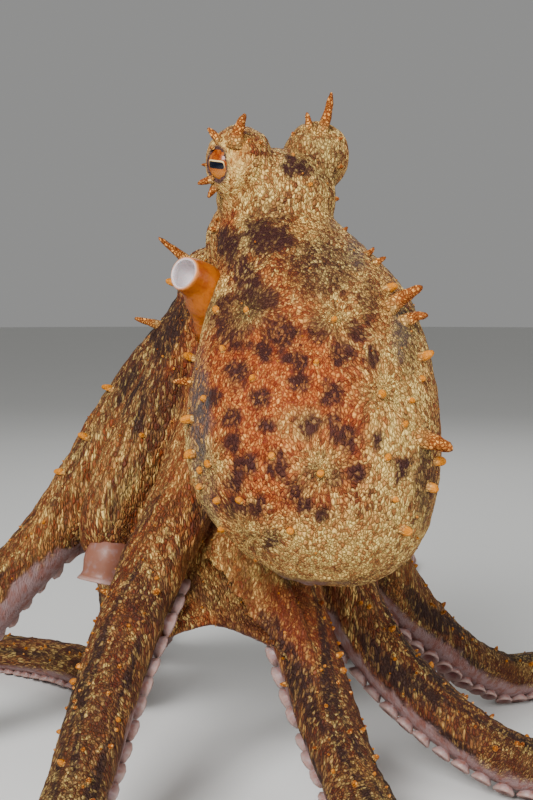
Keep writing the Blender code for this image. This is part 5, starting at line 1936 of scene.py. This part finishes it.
@dataclass
class Funnel:
    """The siphon, a soft bent tube with a white inside."""

    route: list = field(default_factory=lambda: [
        (-0.0290, -0.0120, 0.2305), (-0.0255, -0.0190, 0.2420), (-0.0265, -0.0255, 0.2515),
        (-0.0320, -0.0320, 0.2590), (-0.0385, -0.0395, 0.2625),
    ])
    steps: int = 44

    @staticmethod
    def stations() -> list:
        """Share of the way to the tip, radius, and how much it is inside or on the lip, for each ring."""
        outside = [(0.0, 0.0058), (0.12, 0.0078), (0.25, 0.0100), (0.38, 0.0120), (0.50, 0.0127),
                   (0.62, 0.0118), (0.74, 0.0104), (0.85, 0.0092), (0.94, 0.0085)]
        lip = [(0.985, 0.0083, 0.0, 1.0), (1.0, 0.0079, 0.2, 1.0), (1.004, 0.0074, 0.6, 0.8),
               (0.995, 0.0069, 0.95, 0.3)]
        inside = [(0.97, 0.0068), (0.90, 0.0070), (0.82, 0.0066), (0.76, 0.0052), (0.73, 0.0030),
                  (0.72, 0.0001)]
        return [(*ring, 0.0, 0.0) for ring in outside] + lip + [(*ring, 1.0, 0.0) for ring in inside]

    def at(self, share: float) -> tuple:
        """Place and direction at a share of the way to the tip."""
        spot = min(max(share, 0.0), 0.9999) * (len(self.route) - 1)
        k = int(spot)
        ends = [Vector(self.route[min(max(j, 0), len(self.route) - 1)]) for j in range(k - 1, k + 3)]
        place = Route.between(ends, spot - k)
        ahead = Route.between(ends, spot - k + 0.01)
        forward = (ahead - place).normalized()
        return place + forward * max(0.0, share - 1.0) * 0.04, forward

    def build(self, material: bpy.types.Material, shift: Vector) -> bpy.types.Object:
        """Builds the funnel: a grid wrapped round its bent route, out along its wall and back in."""
        rings = self.stations()
        bm = bmesh.new()
        inside, lip = float_layers(bm, "inside", "lip")
        grid = bmesh.ops.create_grid(bm, x_segments=len(rings) - 1, y_segments=self.steps, size=1.0)["verts"]
        up = Vector((0, 0, 1))
        for vertex in grid:
            share, radius, within, edge = rings[round((vertex.co.x + 1) / 2 * (len(rings) - 1))]
            turn = math.pi * (vertex.co.y + 1)
            place, forward = self.at(share)
            side = forward.cross(up).normalized()
            over = side.cross(forward)
            soft = radius * (1 + 0.04 * math.sin(turn * 2 + 0.6) + 0.02 * math.sin(turn * 3 + share * 6))
            vertex.co = place + (side * math.cos(turn) + over * math.sin(turn)) * soft + shift
            vertex[inside] = within
            vertex[lip] = edge
        bmesh.ops.remove_doubles(bm, verts=bm.verts, dist=1e-6)
        close_holes(bm)
        piece = finish_piece(bm, "funnel_tube", material)
        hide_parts("funnel")
        return piece


@dataclass
class Studio:
    """Floor, lights and camera."""

    viewer: Viewer
    shift: Vector
    floor_radius: float = 9.0
    floor_drop: float = 0.0003
    sky: tuple = (0.86, 0.86, 0.85, 1.0)
    sky_strength: float = 0.34

    def build(self) -> None:
        """Sets up the studio."""
        bm = bmesh.new()
        bmesh.ops.create_circle(bm, cap_ends=True, segments=96, radius=self.floor_radius)
        bmesh.ops.translate(bm, vec=(0, 0, -self.floor_drop), verts=bm.verts)
        mesh = make_mesh(bm, "floor")
        mesh.materials.append(FloorFinish().make())
        floor = link("floor", mesh)
        world = bpy.data.worlds.new("studio")
        world.use_nodes = True
        sky = world.node_tree.nodes["Background"].inputs
        sky["Color"].default_value = self.sky
        sky["Strength"].default_value = self.sky_strength
        bpy.context.scene.world = world
        for name, offset, size, power in LAMPS:
            self.lamp(name, Vector(offset), size, power)
        self.camera()

    def lamp(self, name: str, offset: Vector, size: float, power: float) -> None:
        """Adds a soft square lamp that stands off from the animal's middle and points at it."""
        data = bpy.data.lights.new(name, "AREA")
        data.size = size
        data.energy = power
        lamp = link(name, data)
        lamp.location = Vector(self.viewer.target) + self.shift + offset
        lamp.rotation_euler = (-offset).to_track_quat("-Z", "Y").to_euler()

    def camera(self) -> None:
        """Adds the photograph's camera."""
        data = bpy.data.cameras.new("camera")
        data.lens = self.viewer.lens
        data.sensor_width = self.viewer.sensor
        data.clip_start = 0.01
        camera = link("camera", data)
        place, _, _, forward = self.viewer.axes()
        camera.location = Vector(place) + self.shift
        camera.rotation_euler = Vector(forward).to_track_quat("-Z", "Y").to_euler()
        bpy.context.scene.camera = camera


def pose_shift() -> Vector:
    """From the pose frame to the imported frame, by where the left eye's solid is."""
    low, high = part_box("eye_left")
    middle = (Vector(low) + Vector(high)) / 2
    shift = middle - Head().eyes[0].centre()
    shift.z = 0.0
    return shift


def main() -> None:
    """Builds the pieces in order."""
    logging.basicConfig(level=logging.INFO, format="%(message)s")
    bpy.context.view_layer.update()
    shift = pose_shift()
    Octopus(shift).build()
    Studio(Viewer(), shift).build()


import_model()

if __name__ == "__main__":
    main()
